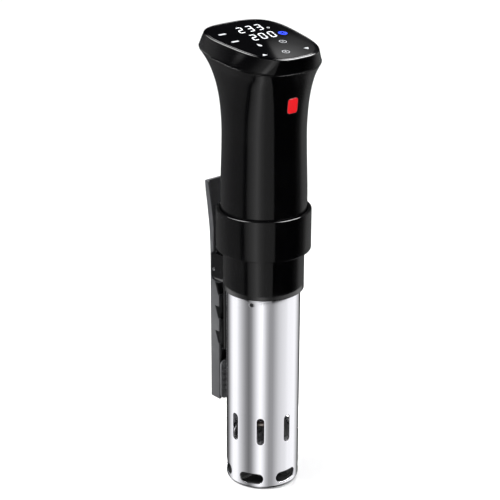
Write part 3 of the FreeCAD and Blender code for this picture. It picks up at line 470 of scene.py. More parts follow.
class Graph:
    """A node tree that is written as expressions."""

    def __init__(self, tree: bpy.types.NodeTree) -> None:
        """Empties the tree and keeps it."""
        self.tree = tree
        self.tree.nodes.clear()

    def node(self, kind: str, settings: dict[str, Any] | None = None,
             inputs: dict[Any, Any] | None = None) -> bpy.types.Node:
        """Adds one node.

        Args:
            kind: the node's type.
            settings: its properties, set first; "stops" gives a ramp's places and colours.
            inputs: its sockets' values or links, by name or number.

        Returns:
            The node.
        """
        made = self.tree.nodes.new(kind)
        for name, setting in (settings or {}).items():
            if name == "stops":
                self.ramp(made, setting)
            else:
                setattr(made, name, setting)
        for key, given in (inputs or {}).items():
            given = given.socket if isinstance(given, Value) else given
            if isinstance(given, bpy.types.NodeSocket):
                self.tree.links.new(given, made.inputs[key])
            else:
                entry = made.inputs[key]
                entry.default_value = (*given, 1.0) if entry.type == "RGBA" and len(given) == 3 else given
        return made

    @staticmethod
    def ramp(made: bpy.types.Node, stops: Sequence[tuple[float, Colour]]) -> None:
        """Sets a colour ramp's stops.

        Args:
            made: the ramp's node.
            stops: each stop, as its place and colour.
        """
        elements = made.color_ramp.elements
        while len(elements) < len(stops):
            elements.new(0.5)
        for element, (place, colour) in zip(elements, stops):
            element.position = place
            element.color = (*colour, 1.0)

    def value(self, kind: str, settings: dict[str, Any] | None = None, inputs: dict[Any, Any] | None = None,
              output: Any = 0) -> Value:
        """Adds one node and returns one of its outputs as a value."""
        return Value(self, self.node(kind, settings, inputs).outputs[output])

    def place(self, scale: Sequence[float] = (1, 1, 1), turn: Sequence[float] = (0, 0, 0)) -> Value:
        """Object coordinates, scaled and turned by a Mapping node."""
        coordinates = self.value("ShaderNodeTexCoord", output="Object")
        inputs = {"Vector": coordinates, "Scale": scale, "Rotation": turn}
        return self.value("ShaderNodeMapping", inputs=inputs)

    def parts(self, vector: Value) -> tuple[Value, Value, Value]:
        """The three components of a vector."""
        split = self.node("ShaderNodeSeparateXYZ", inputs={0: vector})
        return tuple(Value(self, split.outputs[i]) for i in range(3))

    def vector(self, x: Any, y: Any, z: Any) -> Value:
        """A vector from three components."""
        return self.value("ShaderNodeCombineXYZ", inputs={0: x, 1: y, 2: z})

    def noise(self, vector: Value, scale: float, detail: float = 3.0, rough: float = 0.55) -> Value:
        """Fractal noise from 0 to 1 at places given by a vector."""
        return self.value("ShaderNodeTexNoise", {"noise_dimensions": "3D"},
                          {"Vector": vector, "Scale": scale, "Detail": detail, "Roughness": rough})

    def mix(self, share: Any, first: Colour | Value, second: Colour | Value) -> Value:
        """A colour between two others."""
        first, second = ((*c, 1.0) if isinstance(c, tuple) else c for c in (first, second))
        return self.value("ShaderNodeMix", {"data_type": "RGBA"}, {0: share, 6: first, 7: second}, output=2)

    def bump(self, height: Value, depth: float, under: Value | None = None) -> Value:
        """Normals bent by a height that runs over a depth in metres.

        Args:
            height: the height, from 0 to 1.
            depth: what a height of 1 stands for, in metres.
            under: normals that it bends further.

        Returns:
            The bent normals.
        """
        inputs: dict[str, Any] = {"Height": height, "Strength": 1.0, "Distance": depth}
        if under is not None:
            inputs["Normal"] = under
        return self.value("ShaderNodeBump", None, inputs)

    def surface(self, inputs: dict[str, Any]) -> None:
        """Ends the tree in one Principled shader."""
        shader = self.node("ShaderNodeBsdfPrincipled", inputs=inputs)
        self.node("ShaderNodeOutputMaterial", inputs={"Surface": shader.outputs[0]})


# ---------------------------------------------------------------------------------------------
# Finishes
# ---------------------------------------------------------------------------------------------
class Lay(Enum):
    """Which way a metal's polishing lines run."""

    LENGTHWISE = "up the part"
    AROUND = "round the shaft axis"
    ALL_WAYS = "no one way"


@dataclass(frozen=True)
class Finish:
    """A surface finish that can make its own material."""

    name: str
    colour: Colour
    roughness: float

    def make(self) -> bpy.types.Material:
        """Builds the material's node tree."""
        material = bpy.data.materials.new(self.name)
        material.use_nodes = True
        self.dress(Graph(material.node_tree))
        material.diffuse_color = (*self.colour, 1.0)
        return material

    def dress(self, graph: Graph) -> None:
        """Fills the node tree.

        Args:
            graph: the material's own node tree.
        """
        raise NotImplementedError

    def lighter(self, share: float) -> Colour:
        """The finish's colour, part of the way to white."""
        return tuple(c + (1 - c) * share for c in self.colour)

    def darker(self, share: float) -> Colour:
        """The finish's colour, part of the way to black."""
        return tuple(c * (1 - share) for c in self.colour)


@dataclass(frozen=True)
class GlossMoulding(Finish):
    """Polished injection moulding: a faint orange peel, hair scratches and the haze of handling."""

    peel: float = 2.5e-6
    haze: float = 0.05

    def dress(self, graph: Graph) -> None:
        """Fills the node tree.

        Args:
            graph: the material's own node tree.
        """
        here = graph.place()
        haze = graph.noise(here, 38, 5, 0.6).step(0.45, 0.75)
        streaks = graph.noise(graph.place((2600, 2600, 60), (0.2, 0.35, 0.1)), 1.0, 2).step(0.66, 0.82)
        rough = haze * self.haze + streaks * 0.03 + self.roughness
        peel = graph.noise(here, 420, 1.5)
        graph.surface({
            "Base Color": graph.mix(haze * 0.4, self.colour, self.lighter(0.0015)),
            "Roughness": rough,
            "Normal": graph.bump(peel, self.peel),
            "Coat Weight": 0.25,
            "Coat Roughness": 0.03,
            "Specular IOR Level": 0.5,
        })


@dataclass(frozen=True)
class GrainedMoulding(Finish):
    """Moulding from an etched tool: a fine grain, with wear that polishes it in patches."""

    grain: float = 1.5e-5
    pitch: float = 1500.0

    def dress(self, graph: Graph) -> None:
        """Fills the node tree.

        Args:
            graph: the material's own node tree.
        """
        here = graph.place()
        grain = graph.noise(here, self.pitch, 2.0, 0.6)
        wear = graph.noise(here, 55, 4, 0.6).step(0.5, 0.78)
        tone = graph.mix(graph.noise(here, 18, 3), self.darker(0.12), self.lighter(0.03))
        graph.surface({
            "Base Color": graph.mix(wear * 0.35, tone, self.lighter(0.05)),
            "Roughness": wear * -0.12 + grain * 0.10 + self.roughness,
            "Normal": graph.bump(grain, self.grain),
            "Specular IOR Level": 0.45,
        })


@dataclass(frozen=True)
class PolishedMetal(Finish):
    """Bare metal with polishing lines along a chosen lay, and a breath of stain."""

    lay: Lay = Lay.ALL_WAYS
    lines: float = 0.10
    stain: float = 0.12

    def stroke(self, graph: Graph) -> Value:
        """The polishing lines as noise from 0 to 1, drawn out along the lay.

        Args:
            graph: the material's own node tree.

        Returns:
            The lines' strength.
        """
        if self.lay is Lay.ALL_WAYS:
            return graph.noise(graph.place((900, 1300, 900), (0.5, 0.3, 0.8)), 1.0, 3)
        x, y, z = graph.parts(graph.value("ShaderNodeTexCoord", output="Object"))
        turn = x.math("ARCTAN2", y)
        if self.lay is Lay.LENGTHWISE:
            return graph.noise(graph.vector(turn * 150.0, z * 9.0, 0.0), 1.0, 4, 0.62)
        radius = (x * x + y * y).math("SQRT")
        return graph.noise(graph.vector(turn * 1.5, z * 5200.0, radius * 5200.0), 1.0, 3)

    def dress(self, graph: Graph) -> None:
        """Fills the node tree.

        Args:
            graph: the material's own node tree.
        """
        stroke = self.stroke(graph)
        stain = graph.noise(graph.place(), 24, 5, 0.6).step(0.5, 0.85)
        tone = graph.mix(stroke, self.darker(0.08), self.lighter(0.10))
        graph.surface({
            "Base Color": graph.mix(stain * self.stain, tone, self.darker(0.35)),
            "Metallic": 1.0,
            "Roughness": (stroke - 0.5) * self.lines + stain * 0.05 + self.roughness,
            "Normal": graph.bump(stroke, 1.2e-6),
        })


@dataclass(frozen=True)
class HeatedMetal(PolishedMetal):
    """Blasted heater tube, straw and blue in patches where it has run hot."""

    def dress(self, graph: Graph) -> None:
        """Fills the node tree.

        Args:
            graph: the material's own node tree.
        """
        stroke = graph.noise(graph.place(), 1600, 2)
        heat = graph.noise(graph.place((1, 1, 2.4)), 40, 3)
        oxide = graph.value("ShaderNodeValToRGB", {"stops": [
            (0.30, self.colour),
            (0.48, (0.52, 0.40, 0.24)),
            (0.60, (0.36, 0.25, 0.28)),
            (0.74, (0.22, 0.25, 0.38)),
        ]}, {0: heat})
        graph.surface({
            "Base Color": graph.mix(heat.step(0.4, 0.6) * 0.55, self.colour, oxide),
            "Metallic": 1.0,
            "Roughness": stroke * 0.12 + self.roughness,
            "Normal": graph.bump(stroke, 8e-6),
        })


@dataclass(frozen=True)
class SoftRubber(Finish):
    """Moulded rubber: matt, faintly bloomed, with a fine tool texture."""

    def dress(self, graph: Graph) -> None:
        """Fills the node tree.

        Args:
            graph: the material's own node tree.
        """
        here = graph.place()
        grain = graph.noise(here, 2200, 2)
        bloom = graph.noise(here, 90, 5, 0.65).step(0.45, 0.8)
        graph.surface({
            "Base Color": graph.mix(bloom * 0.5, self.colour, self.lighter(0.06)),
            "Roughness": bloom * 0.10 + grain * 0.08 + self.roughness,
            "Normal": graph.bump(grain, 2.0e-5),
            "Specular IOR Level": 0.3,
            "Sheen Weight": 0.12,
            "Sheen Roughness": 0.5,
        })


@dataclass(frozen=True)
class PanelLens(Finish):
    """The black touch panel: optically smooth, with a few wiped fingerprints."""

    def dress(self, graph: Graph) -> None:
        """Fills the node tree.

        Args:
            graph: the material's own node tree.
        """
        here = graph.place()
        wipe = graph.noise(graph.place((55, 18, 30), (0, 0, 0.7)), 1.0, 4).step(0.5, 0.8)
        cells = graph.value("ShaderNodeTexVoronoi", {"feature": "F1"}, {"Vector": here, "Scale": 52.0})
        ridges = (cells * 260.0).math("SINE").step(0.1, 0.8) * (1.0 - cells.step(0.25, 0.42))
        graph.surface({
            "Base Color": graph.mix(wipe * 0.5, self.colour, self.lighter(0.003)),
            "Roughness": wipe * 0.05 + ridges * wipe * 0.10 + self.roughness,
            "Normal": graph.bump(graph.noise(here, 60, 1), 3e-6),
            "Coat Weight": 0.25,
            "Coat Roughness": 0.02,
            "Specular IOR Level": 0.5,
        })


@dataclass(frozen=True)
class LitMark(Finish):
    """A printed mark lit from behind, a little brighter over its lamp."""

    glow: float = 1.0

    def dress(self, graph: Graph) -> None:
        """Fills the node tree.

        Args:
            graph: the material's own node tree.
        """
        lamp = graph.noise(graph.place(), 260, 2).step(0.3, 0.7)
        graph.surface({
            "Base Color": self.darker(0.5),
            "Roughness": lamp * 0.05 + self.roughness,
            "Emission Color": graph.mix(lamp, self.darker(0.12), self.colour),
            "Emission Strength": self.glow,
        })


@dataclass(frozen=True)
class RibbedLens(Finish):
    """A coloured signal lens with fine upright ribs inside, glowing softly."""

    glow: float = 0.4

    def dress(self, graph: Graph) -> None:
        """Fills the node tree.

        Args:
            graph: the material's own node tree.
        """
        x, _, _ = graph.parts(graph.value("ShaderNodeTexCoord", output="Object"))
        ribs = (x * 5200.0).math("SINE") * 0.5 + 0.5
        cloud = graph.noise(graph.place(), 300, 2)
        graph.surface({
            "Base Color": graph.mix(ribs * 0.35 + cloud * 0.2, self.colour, self.darker(0.45)),
            "Roughness": cloud * 0.08 + self.roughness,
            "Emission Color": graph.mix(ribs * 0.5 + cloud * 0.3, self.colour, self.darker(0.6)),
            "Emission Strength": self.glow,
            "Normal": graph.bump(ribs, 6e-6),
            "Coat Weight": 0.6,
            "Coat Roughness": 0.04,
        })


@dataclass(frozen=True)
class CircuitBoard(Finish):
    """Solder mask over copper tracks, with bare pads."""

    def dress(self, graph: Graph) -> None:
        """Fills the node tree.

        Args:
            graph: the material's own node tree.
        """
        here = graph.place((1, 1, 1), (0.78, 0.0, 0.78))
        tracks = graph.value("ShaderNodeTexBrick", {"offset": 0.35, "squash": 0.7}, {
            "Vector": here, "Scale": 170.0, "Mortar Size": 0.035,
            "Color1": (1, 1, 1, 1), "Color2": (1, 1, 1, 1), "Mortar": (0, 0, 0, 1),
        }, output="Fac")
        dots = {"Vector": graph.place(), "Scale": 420.0}
        spots = graph.value("ShaderNodeTexVoronoi", {"feature": "F1"}, dots)
        pads = 1.0 - spots.step(0.13, 0.17)
        mask = graph.mix(tracks, self.colour, self.lighter(0.10))
        graph.surface({
            "Base Color": graph.mix(pads, mask, (0.72, 0.70, 0.64)),
            "Metallic": pads,
            "Roughness": pads * -0.1 + self.roughness,
            "Normal": graph.bump(tracks + pads, 1.5e-5),
        })


@dataclass(frozen=True)
class Layered(Finish):
    """A stack of thin layers or strands: pressed iron sheets, or a flat cable's conductors."""

    pitch: float = 0.0006
    across: int = 2
    metallic: float = 0.6

    def dress(self, graph: Graph) -> None:
        """Fills the node tree.

        Args:
            graph: the material's own node tree.
        """
        parts = graph.parts(graph.value("ShaderNodeTexCoord", output="Object"))
        lines = (parts[self.across] * (2 * math.pi / self.pitch)).math("SINE") * 0.5 + 0.5
        grime = graph.noise(graph.place(), 200, 4)
        graph.surface({
            "Base Color": graph.mix(lines * 0.6 + grime * 0.3, self.darker(0.5), self.lighter(0.08)),
            "Metallic": self.metallic,
            "Roughness": grime * 0.2 + self.roughness,
            "Normal": graph.bump(lines, 5e-5),
        })


@dataclass(frozen=True)
class StudioPaper(Finish):
    """Pale matt paper for the floor."""

    def dress(self, graph: Graph) -> None:
        """Fills the node tree.

        Args:
            graph: the material's own node tree.
        """
        fibre = graph.noise(graph.place(), 900, 3)
        graph.surface({
            "Base Color": graph.mix(fibre, self.darker(0.015), self.colour),
            "Roughness": fibre * 0.05 + self.roughness,
            "Specular IOR Level": 0.2,
        })


FINISHES: dict[str, Finish] = {
    "gloss_black": GlossMoulding("polished black moulding", (0.0008, 0.0008, 0.0010), 0.05),
    "satin_grey": GrainedMoulding("grained dark grey moulding", (0.028, 0.029, 0.032), 0.40),
    "satin_black": GrainedMoulding("grained black moulding", (0.010, 0.010, 0.011), 0.42),
    "panel_black": PanelLens("black touch panel", (0.0018, 0.0018, 0.0024), 0.035),
    "red_lens": RibbedLens("red signal lens", (0.70, 0.005, 0.010), 0.18, 0.30),
    "rubber_black": SoftRubber("ribbed black rubber", (0.075, 0.076, 0.080), 0.62),
    "seal_rubber": SoftRubber("smooth seal rubber", (0.035, 0.035, 0.037), 0.50),
    "foam_black": SoftRubber("gasket foam", (0.030, 0.030, 0.030), 0.85),
    "brushed_steel": PolishedMetal(
        "polished steel tube", (0.79, 0.79, 0.83), 0.08, Lay.LENGTHWISE, 0.05, 0.04,
    ),
    "heater_steel": HeatedMetal("heater tube", (0.46, 0.45, 0.43), 0.32),
    "screw_steel": PolishedMetal("bright plated steel", (0.62, 0.62, 0.64), 0.22, Lay.ALL_WAYS, 0.16),
    "spring_steel": PolishedMetal("drawn spring wire", (0.45, 0.45, 0.47), 0.30, Lay.ALL_WAYS, 0.18),
    "motor_steel": PolishedMetal("zinc plated can", (0.52, 0.53, 0.55), 0.34, Lay.AROUND, 0.14),
    "laminated_iron": Layered("pressed iron sheets", (0.20, 0.19, 0.18), 0.45, 0.0006, 2, 0.6),
    "magnet_grey": GrainedMoulding("sintered magnet", (0.11, 0.11, 0.12), 0.55, 3e-5, 900.0),
    "cast_aluminium": PolishedMetal("extruded aluminium", (0.66, 0.67, 0.69), 0.38, Lay.ALL_WAYS, 0.2),
    "bush_bronze": PolishedMetal("turned bronze", (0.62, 0.42, 0.22), 0.30, Lay.AROUND, 0.16),
    "pump_plastic": GrainedMoulding("pale pump moulding", (0.52, 0.52, 0.50), 0.40, 8e-6, 1200.0),
    "circuit_green": CircuitBoard("circuit board", (0.012, 0.14, 0.06), 0.38),
    "display_grey": GrainedMoulding("potted display", (0.20, 0.20, 0.21), 0.40, 6e-6, 1200.0),
    "capacitor_sleeve": GlossMoulding("blue shrink sleeve", (0.025, 0.045, 0.18), 0.28),
    "cable_grey": Layered("flat cable", (0.42, 0.42, 0.43), 0.45, 0.0012, 0, 0.0),
    "cable_red": SoftRubber("red silicone lead", (0.38, 0.025, 0.025), 0.48),
}
# steel painted dark: painted shade for the pins deep in the sleeve's holes
HOLE_SHADE_STEEL = PolishedMetal("pin steel painted with hole shade", (0.06, 0.06, 0.065), 0.30, Lay.ALL_WAYS, 0.16)
MARK_WHITE = LitMark("white display light", (0.95, 0.97, 1.0), 0.3, 1.05)
MARK_GREY = LitMark("printed key marks", (0.80, 0.82, 0.85), 0.35, 0.62)
MARK_BLUE = LitMark("blue display light", (0.03, 0.07, 0.95), 0.3, 1.3)


class Palette:
    """Makes each finish once and hands it out by the record's slot name."""

    # nodes whose steel is painted dark: painted shade of the deep hole they sit in
    hole_shade_nodes = ("sleeve_pins",)

    def __init__(self) -> None:
        """Makes every material."""
        self.by_slot = {slot: finish.make() for slot, finish in FINISHES.items()}
        self.white = MARK_WHITE.make()
        self.grey = MARK_GREY.make()
        self.blue = MARK_BLUE.make()
        self.painted_hole_shade = HOLE_SHADE_STEEL.make()

    def __getitem__(self, slot: str) -> bpy.types.Material:
        """The material for a slot."""
        return self.by_slot[slot]

    def dress_nodes(self) -> None:
        """Puts each CAD node's own finish in its material slots, but steel with painted shade on the nodes
        deep in holes.
        """
        for part in frame["record"]["subparts"]:
            node = frame["nodes"][part["node"]]
            node.data.materials.clear()
            # the pins get steel painted dark for the shade in their holes
            gets_hole_shade = part["node"] in self.hole_shade_nodes
            node.data.materials.append(self.painted_hole_shade if gets_hole_shade else self[part["material_slot"]])


# ---------------------------------------------------------------------------------------------
# Handle
# ---------------------------------------------------------------------------------------------
@dataclass
class Handle:
    """The flared handle: its skin, the bevelled band round the panel, the signal lens and the cord's bush."""

    palette: Palette
    body: str = "machine"
    round_count: int = 192
    wall: float = 2.4 * MM
    # height, half width, half length, squareness, shift to the back, tilt and taper of the sections
    sections: tuple[tuple[float, ...], ...] = (
        (236.3, 34.5, 34.5, 2.0, 0.0, 0.0, 0.0),
        (254.0, 34.4, 34.4, 2.0, 0.0, 0.0, 0.0),
        (272.0, 33.9, 33.9, 2.0, 0.0, 0.0, 0.0),
        (290.0, 33.4, 33.4, 2.0, 0.0, 0.0, 0.0),
        (306.0, 33.3, 33.3, 2.0, 0.0, 0.0, 0.0),
        (319.0, 33.5, 33.8, 2.06, 0.1, 0.7, 0.0),
        (331.0, 33.9, 35.0, 2.18, 0.5, 2.3, 0.0),
        (342.0, 35.1, 37.0, 2.35, 1.4, 4.6, 0.0),
        (352.0, 37.3, 40.3, 2.5, 2.7, 7.0, 0.015),
        (362.0, 42.0, 45.0, 2.61, 4.1, 8.9, 0.04),
    )
    panel_half: tuple[float, float] = (35.1 * MM, 42.0 * MM)
    panel_square: float = 3.04
    panel_tilt: float = 8.34
    panel_taper: float = 0.129
    panel_y: float = 0.5 * MM
    panel_z: float = 373.5 * MM
    lens_half: tuple[float, float] = (4.75 * MM, 5.85 * MM)
    lens_corner: float = 2.0 * MM
    lens_x: float = -2.0 * MM
    lens_z: float = 329.0 * MM
    lens_proud: float = 0.28 * MM
    gland_z: float = 334.0 * MM
    gland_ends: tuple[float, float] = (30.0 * MM, 45.0 * MM)
    gland_radii: tuple[float, float] = (3.4 * MM, 5.5 * MM)

    def ring_at(self, height: Array) -> Rings:
        """The handle's sections at given nominal heights, by cubic curves through the named ones.

        Args:
            height: nominal heights in metres.

        Returns:
            The sections.
        """
        table = np.array(self.sections)
        columns = (smooth_through(height / MM, table[:, 0], table[:, i]) for i in range(7))
        z, a, b, n, y, tilt, taper = columns
        return Rings(a * MM, b * MM, n, y * MM, z * MM, tilt, taper)

    def skin(self) -> None:
        """The handle's shell, a closed wall between its outer surface and the same surface drawn in."""
        low, high = self.sections[0][0] * MM, self.sections[-1][0] * MM
        climb = np.linspace(low, high, 110)
        bend = np.linspace(0, math.pi / 2, 5)
        foot, lip = 0.5 * MM, 0.4 * MM
        inner = climb[::-6]
        height = np.concatenate([np.full(5, low), climb[2:-1], np.full(5, high), inner])
        grow = np.concatenate([
            foot * (np.sin(bend) - 1), np.zeros(len(climb) - 3), lip * (np.cos(bend) - 1),
            np.full(len(inner), -self.wall),
        ])
        lift = np.concatenate([
            foot * (1 - np.cos(bend)), np.zeros(len(climb) - 3), lip * (np.sin(bend) - 1),
            np.zeros(len(inner)),
        ])
        shell = Shell()
        shell.grid(self.ring_at(height).points(self.round_count, grow, lift), wrap_rows=True)
        shell.piece("handle_skin", self.palette["gloss_black"], self.body, ["upper_shell"], 50)

    def panel_ring(self, grow: float, drop: float) -> Rings:
        """The panel's outline as a single ring, grown and dropped below the panel's face.

        Args:
            grow: how far outside the outline.
            drop: how far below the panel's face.

        Returns:
            The ring.
        """
        lean = math.radians(self.panel_tilt)
        values = (self.panel_half[0] + grow, self.panel_half[1] + grow, self.panel_square,
                  self.panel_y + drop * math.sin(lean), self.panel_z - drop * math.cos(lean), self.panel_tilt,
                  self.panel_taper)
        return Rings(*(np.array([v]) for v in values))

    def band(self) -> None:
        """The bevelled band from the handle's top out to its foot and up to the panel's rim."""
        low = self.ring_at(np.array([self.sections[-1][0] * MM]))
        a, b, n, y, z, tilt, taper = low.values()
        low = Rings(a + 0.48 * MM, b + 0.28 * MM, n, y, z + 0.27 * MM, tilt, taper)
        high = self.panel_ring(1.1 * MM, 0.9 * MM)
        bend = np.linspace(0, math.pi / 2, 7)
        foot, rim = 0.7 * MM, 0.95 * MM
        climb = np.linspace(0.08, 1.0, 26)
        top = 0.9 * MM
        rows = [
            (np.zeros(7), foot * (np.sin(bend) - 1), foot * (1 - np.cos(bend))),
            (climb, np.zeros(26), np.zeros(26)),
            (np.ones(7), rim * (np.cos(bend) - 1), top * np.sin(bend)),
            (np.ones(4), np.array([-1.45, -1.6, -1.6, -4.1]) * MM, np.array([0.9, 0.75, -2.3, -2.3]) * MM),
            (np.array([1.0, 0.0]), np.array([-4.1, -3.0]) * MM, np.array([-4.5 * MM, 0.0])),
        ]
        share, grow, lift = (np.concatenate([row[i] for row in rows]) for i in range(3))
        shell = Shell()
        shell.grid(low.between(high, share).points(self.round_count, grow, lift), wrap_rows=True)
        shell.piece("head_band", self.palette["gloss_black"], self.body, ["head_bezel"], 40)

    def front_point(self, x: Array, z: Array, proud: Array) -> Array:
        """Points on the handle's front: y = -b (1 - |x/a|^n)^(1/n), the section's height found by two steps.

        Args:
            x: places across.
            z: heights.
            proud: how far in front of the surface.

        Returns:
            The points, n by 3.
        """
        height = z
        for _ in range(3):
            ring = self.ring_at(height)
            depth = -ring.b * (1 - np.abs(x / ring.a) ** ring.n) ** (1 / ring.n)
            height = z - depth * np.sin(np.radians(ring.tilt))
        return np.stack([x, ring.y + depth * np.cos(np.radians(ring.tilt)) - proud, z], -1)

    def signal_lens(self) -> None:
        """The red lens that follows the handle's front and stands just proud of it."""
        width, height = self.lens_half
        edge = 0.35 * MM

        def onto_front(points: Array) -> Array:
            """Lays local points on the handle's front."""
            return self.front_point(self.lens_x + points[:, 0], self.lens_z + points[:, 1], points[:, 2])

        shell = Shell()
        outline = rounded_rectangle(width, height, self.lens_corner)
        shell.slab(outline, -2.2 * MM, self.lens_proud, edge, onto_front, 12)
        shell.piece("signal_lens", self.palette["red_lens"], self.body, ["indicator_lens"], 60)
        seat = Shell()
        margin = 0.35 * MM
        outer = rounded_rectangle(width + margin, height + margin, self.lens_corner + margin)
        inner = rounded_rectangle(width + 0.02 * MM, height + 0.02 * MM, self.lens_corner)
        seat.band(outer, inner, -0.6 * MM, 0.10 * MM, onto_front)
        seat.piece("signal_seat", self.palette["satin_black"], self.body)

    def cord_bush(self) -> None:
        """The rubber bush at the back: a turned outline, fluted where it stands proud."""
        bore, radius = self.gland_radii
        start, end = self.gland_ends
        outline = rounded_outline([
            (bore, start, 0), (7.6 * MM, start, 0.3 * MM),
            (7.6 * MM, start + 2 * MM, 0.3 * MM), (radius, start + 2 * MM, 0),
            (radius, 35.0 * MM, 0), (7.4 * MM, 35.0 * MM, 0), (7.4 * MM, 41.0 * MM, 0.7 * MM),
            (radius + 0.1 * MM, 41.0 * MM, 0.3 * MM), (radius, end, 0.8 * MM), (bore, end, 0.4 * MM),
        ])

        def flutes(points: Array, turn: Array) -> Array:
            """Draws the outer radius in by a share of 1 + cos 14 turns, between the flange and the tip."""
            r, y = points[:, :1], points[:, 1:]
            fade = 0.6 * MM
            zone = np.clip((y - 41.3 * MM) / fade, 0, 1) * np.clip((end - fade - y) / fade, 0, 1)
            return r - (r > bore + 0.5 * MM) * zone * 0.3 * MM * (1 + np.cos(14 * turn))

        shell = Shell()
        shell.lathe(self.with_rows(outline), 112, "Y", (0, 0, self.gland_z), flutes)
        shell.piece("cord_bush", self.palette["rubber_black"], self.body, ["cord_gland"], 40)

    @staticmethod
    def with_rows(outline: Array) -> Array:
        """The same closed outline with its long runs divided into steps of about 0.4 mm.

        Args:
            outline: the outline's points, two columns.

        Returns:
            The divided outline.
        """
        after = np.roll(outline, -1, 0)
        counts = np.maximum(1, np.round(np.linalg.norm(after - outline, axis=1) / (0.4 * MM)).astype(int))
        start = np.repeat(np.arange(len(outline)), counts)
        share = (np.arange(len(start)) - np.repeat(np.cumsum(counts) - counts, counts)) / counts[start]
        return outline[start] * (1 - share[:, None]) + after[start] * share[:, None]

    def build(self) -> None:
        """Makes all the handle's pieces."""
        self.skin()
        self.band()
        self.signal_lens()
        self.cord_bush()


# ---------------------------------------------------------------------------------------------
# Touch panel
# ---------------------------------------------------------------------------------------------
@dataclass
class TouchPanel:
    """The lens and what is lit behind it: two rows of digits, a blue pump light and the keys' signs."""

    palette: Palette
    handle: Handle
    body: str = "machine"
    inset: float = 0.6 * MM
    thickness: float = 1.9 * MM
    stand: float = 0.1 * MM
    digit_half: tuple[float, float] = (2.9 * MM, 5.7 * MM)
    stroke: float = 1.2 * MM
    slant: float = 0.28
    rows: tuple[tuple[str, tuple[tuple[float, float], ...]], ...] = (
        ("233", ((-4.0, 23.2), (5.3, 23.0), (14.3, 22.8))),
        ("200", ((-4.8, 6.3), (3.9, 6.1), (13.0, 5.9))),
    )
    pump_light: tuple[float, float] = (22.7, 4.2)
    clock_key: tuple[float, float] = (9.8, -10.4)
    power_key: tuple[float, float] = (-3.3, -28.2)
    heat_key: tuple[float, float] = (-12.5, -8.2)
    up_key: tuple[float, float] = (-23.1, -26.4)
    down_key: tuple[float, float] = (16.8, -29.6)
    bars: tuple[tuple[float, float], ...] = ((-23.2, 22.1), (-24.4, 5.5))
    degree_mark: tuple[float, float] = (20.6, 18.8)
    SEGMENTS = {"0": "abcdef", "2": "abged", "3": "abgcd"}

    def on_face(self, points: Array) -> Array:
        """Local points (across, along, above) laid on the panel's tilted face.

        Args:
            points: the local points, three columns.

        Returns:
            The points in the frame.
        """
        lean = math.radians(self.handle.panel_tilt)
        u, v, h = points[:, 0], points[:, 1], points[:, 2] + self.stand
        return np.stack([u, self.handle.panel_y + v * math.cos(lean) - h * math.sin(lean),
                         self.handle.panel_z + v * math.sin(lean) + h * math.cos(lean)], -1)

    def lens(self) -> None:
        """The lens: superellipses shrinking to a pole on both faces, with an arc at each edge."""
        bend = np.linspace(0, math.pi / 2, 6)
        edge = 0.4 * MM
        share = np.linspace(0.04, 1.0, 24)
        grow = np.concatenate([
            np.full(24, -edge), edge * (np.sin(bend) - 1), edge * (np.cos(bend) - 1), np.full(8, -edge),
        ])
        drop = np.concatenate([
            np.zeros(24), edge * (1 - np.cos(bend)), self.thickness - edge * (1 - np.sin(bend)),
            np.full(8, self.thickness),
        ])
        scale = np.concatenate([share, np.ones(12), share[::-3]])
        ring = self.handle.panel_ring(-self.inset, -self.stand)
        stack = Rings(*(np.repeat(v, len(drop)) for v in ring.values()))
        points = stack.points(self.handle.round_count, grow, -drop, scale)
        shell = Shell()
        numbers = shell.grid(points)
        for row in (0, -1):
            shell.fan(numbers[row], points[row].mean(0))
        shell.piece("panel_lens", self.palette["panel_black"], self.body, ["touch_lens"], 50)

    def segment(self, letter: str) -> Array:
        """One bar of a seven-bar digit about the digit's centre, with pointed ends.

        Args:
            letter: the bar's letter, a to g clockwise from the top, with g the middle one.

        Returns:
            The bar's outline.
        """
        w, h = self.digit_half[0] - self.stroke / 2, self.digit_half[1] - self.stroke / 2
        ends = {
            "a": ((-w, h), (w, h)), "b": ((w, h), (w, 0)), "c": ((w, 0), (w, -h)), "d": ((-w, -h), (w, -h)),
            "e": ((-w, -h), (-w, 0)), "f": ((-w, 0), (-w, h)), "g": ((-w, 0), (w, 0)),
        }[letter]
        start, end = (np.array(p) for p in ends)
        along = (end - start) / np.linalg.norm(end - start)
        side = np.array([-along[1], along[0]]) * self.stroke / 2
        gap, point = 0.12 * MM, self.stroke / 2
        start, end = start + along * gap, end - along * gap
        return np.array([start, start + along * point + side, end - along * point + side, end,
                         end - along * point - side, start + along * point - side])

    def put(self, shell: Shell, outline: Array, centre: tuple[float, float],
            hole: Array | None = None) -> None:
        """Lays one flat sign on the panel, solid or with a hole through it.

        Args:
            shell: what the sign is added to.
            outline: the sign's outline.
            centre: its place on the panel, in millimetres.
            hole: the outline of a hole through it.
        """
        low, high = -0.08 * MM, 0.03 * MM
        spot = np.array(centre) * MM
        if hole is None:
            shell.plate(outline + spot, low, high, self.on_face)
        else:
            shell.band(outline + spot, hole + spot, low, high, self.on_face)

    @staticmethod
    def circle(radius: float, count: int = 40, lobes: float = 0.0) -> Array:
        """A closed round outline, radius r (1 - lobes (1 + cos 3 turns) / 2).

        Args:
            radius: its radius in millimetres.
            count: its points.
            lobes: how deep its three hollows are, as a share of the radius.

        Returns:
            The outline's points.
        """
        turn = turns(count)
        r = radius * MM * (1 - lobes * (1 + np.cos(3 * turn)) / 2)
        return np.stack([r * np.cos(turn), r * np.sin(turn)], 1)

    def digits(self, shell: Shell) -> None:
        """Both rows of slanted seven-bar digits.

        Args:
            shell: what they are added to.
        """
        for text, places in self.rows:
            for figure, spot in zip(text, places):
                for letter in self.SEGMENTS[figure]:
                    bar = self.segment(letter)
                    bar[:, 0] += bar[:, 1] * self.slant
                    self.put(shell, bar, spot)

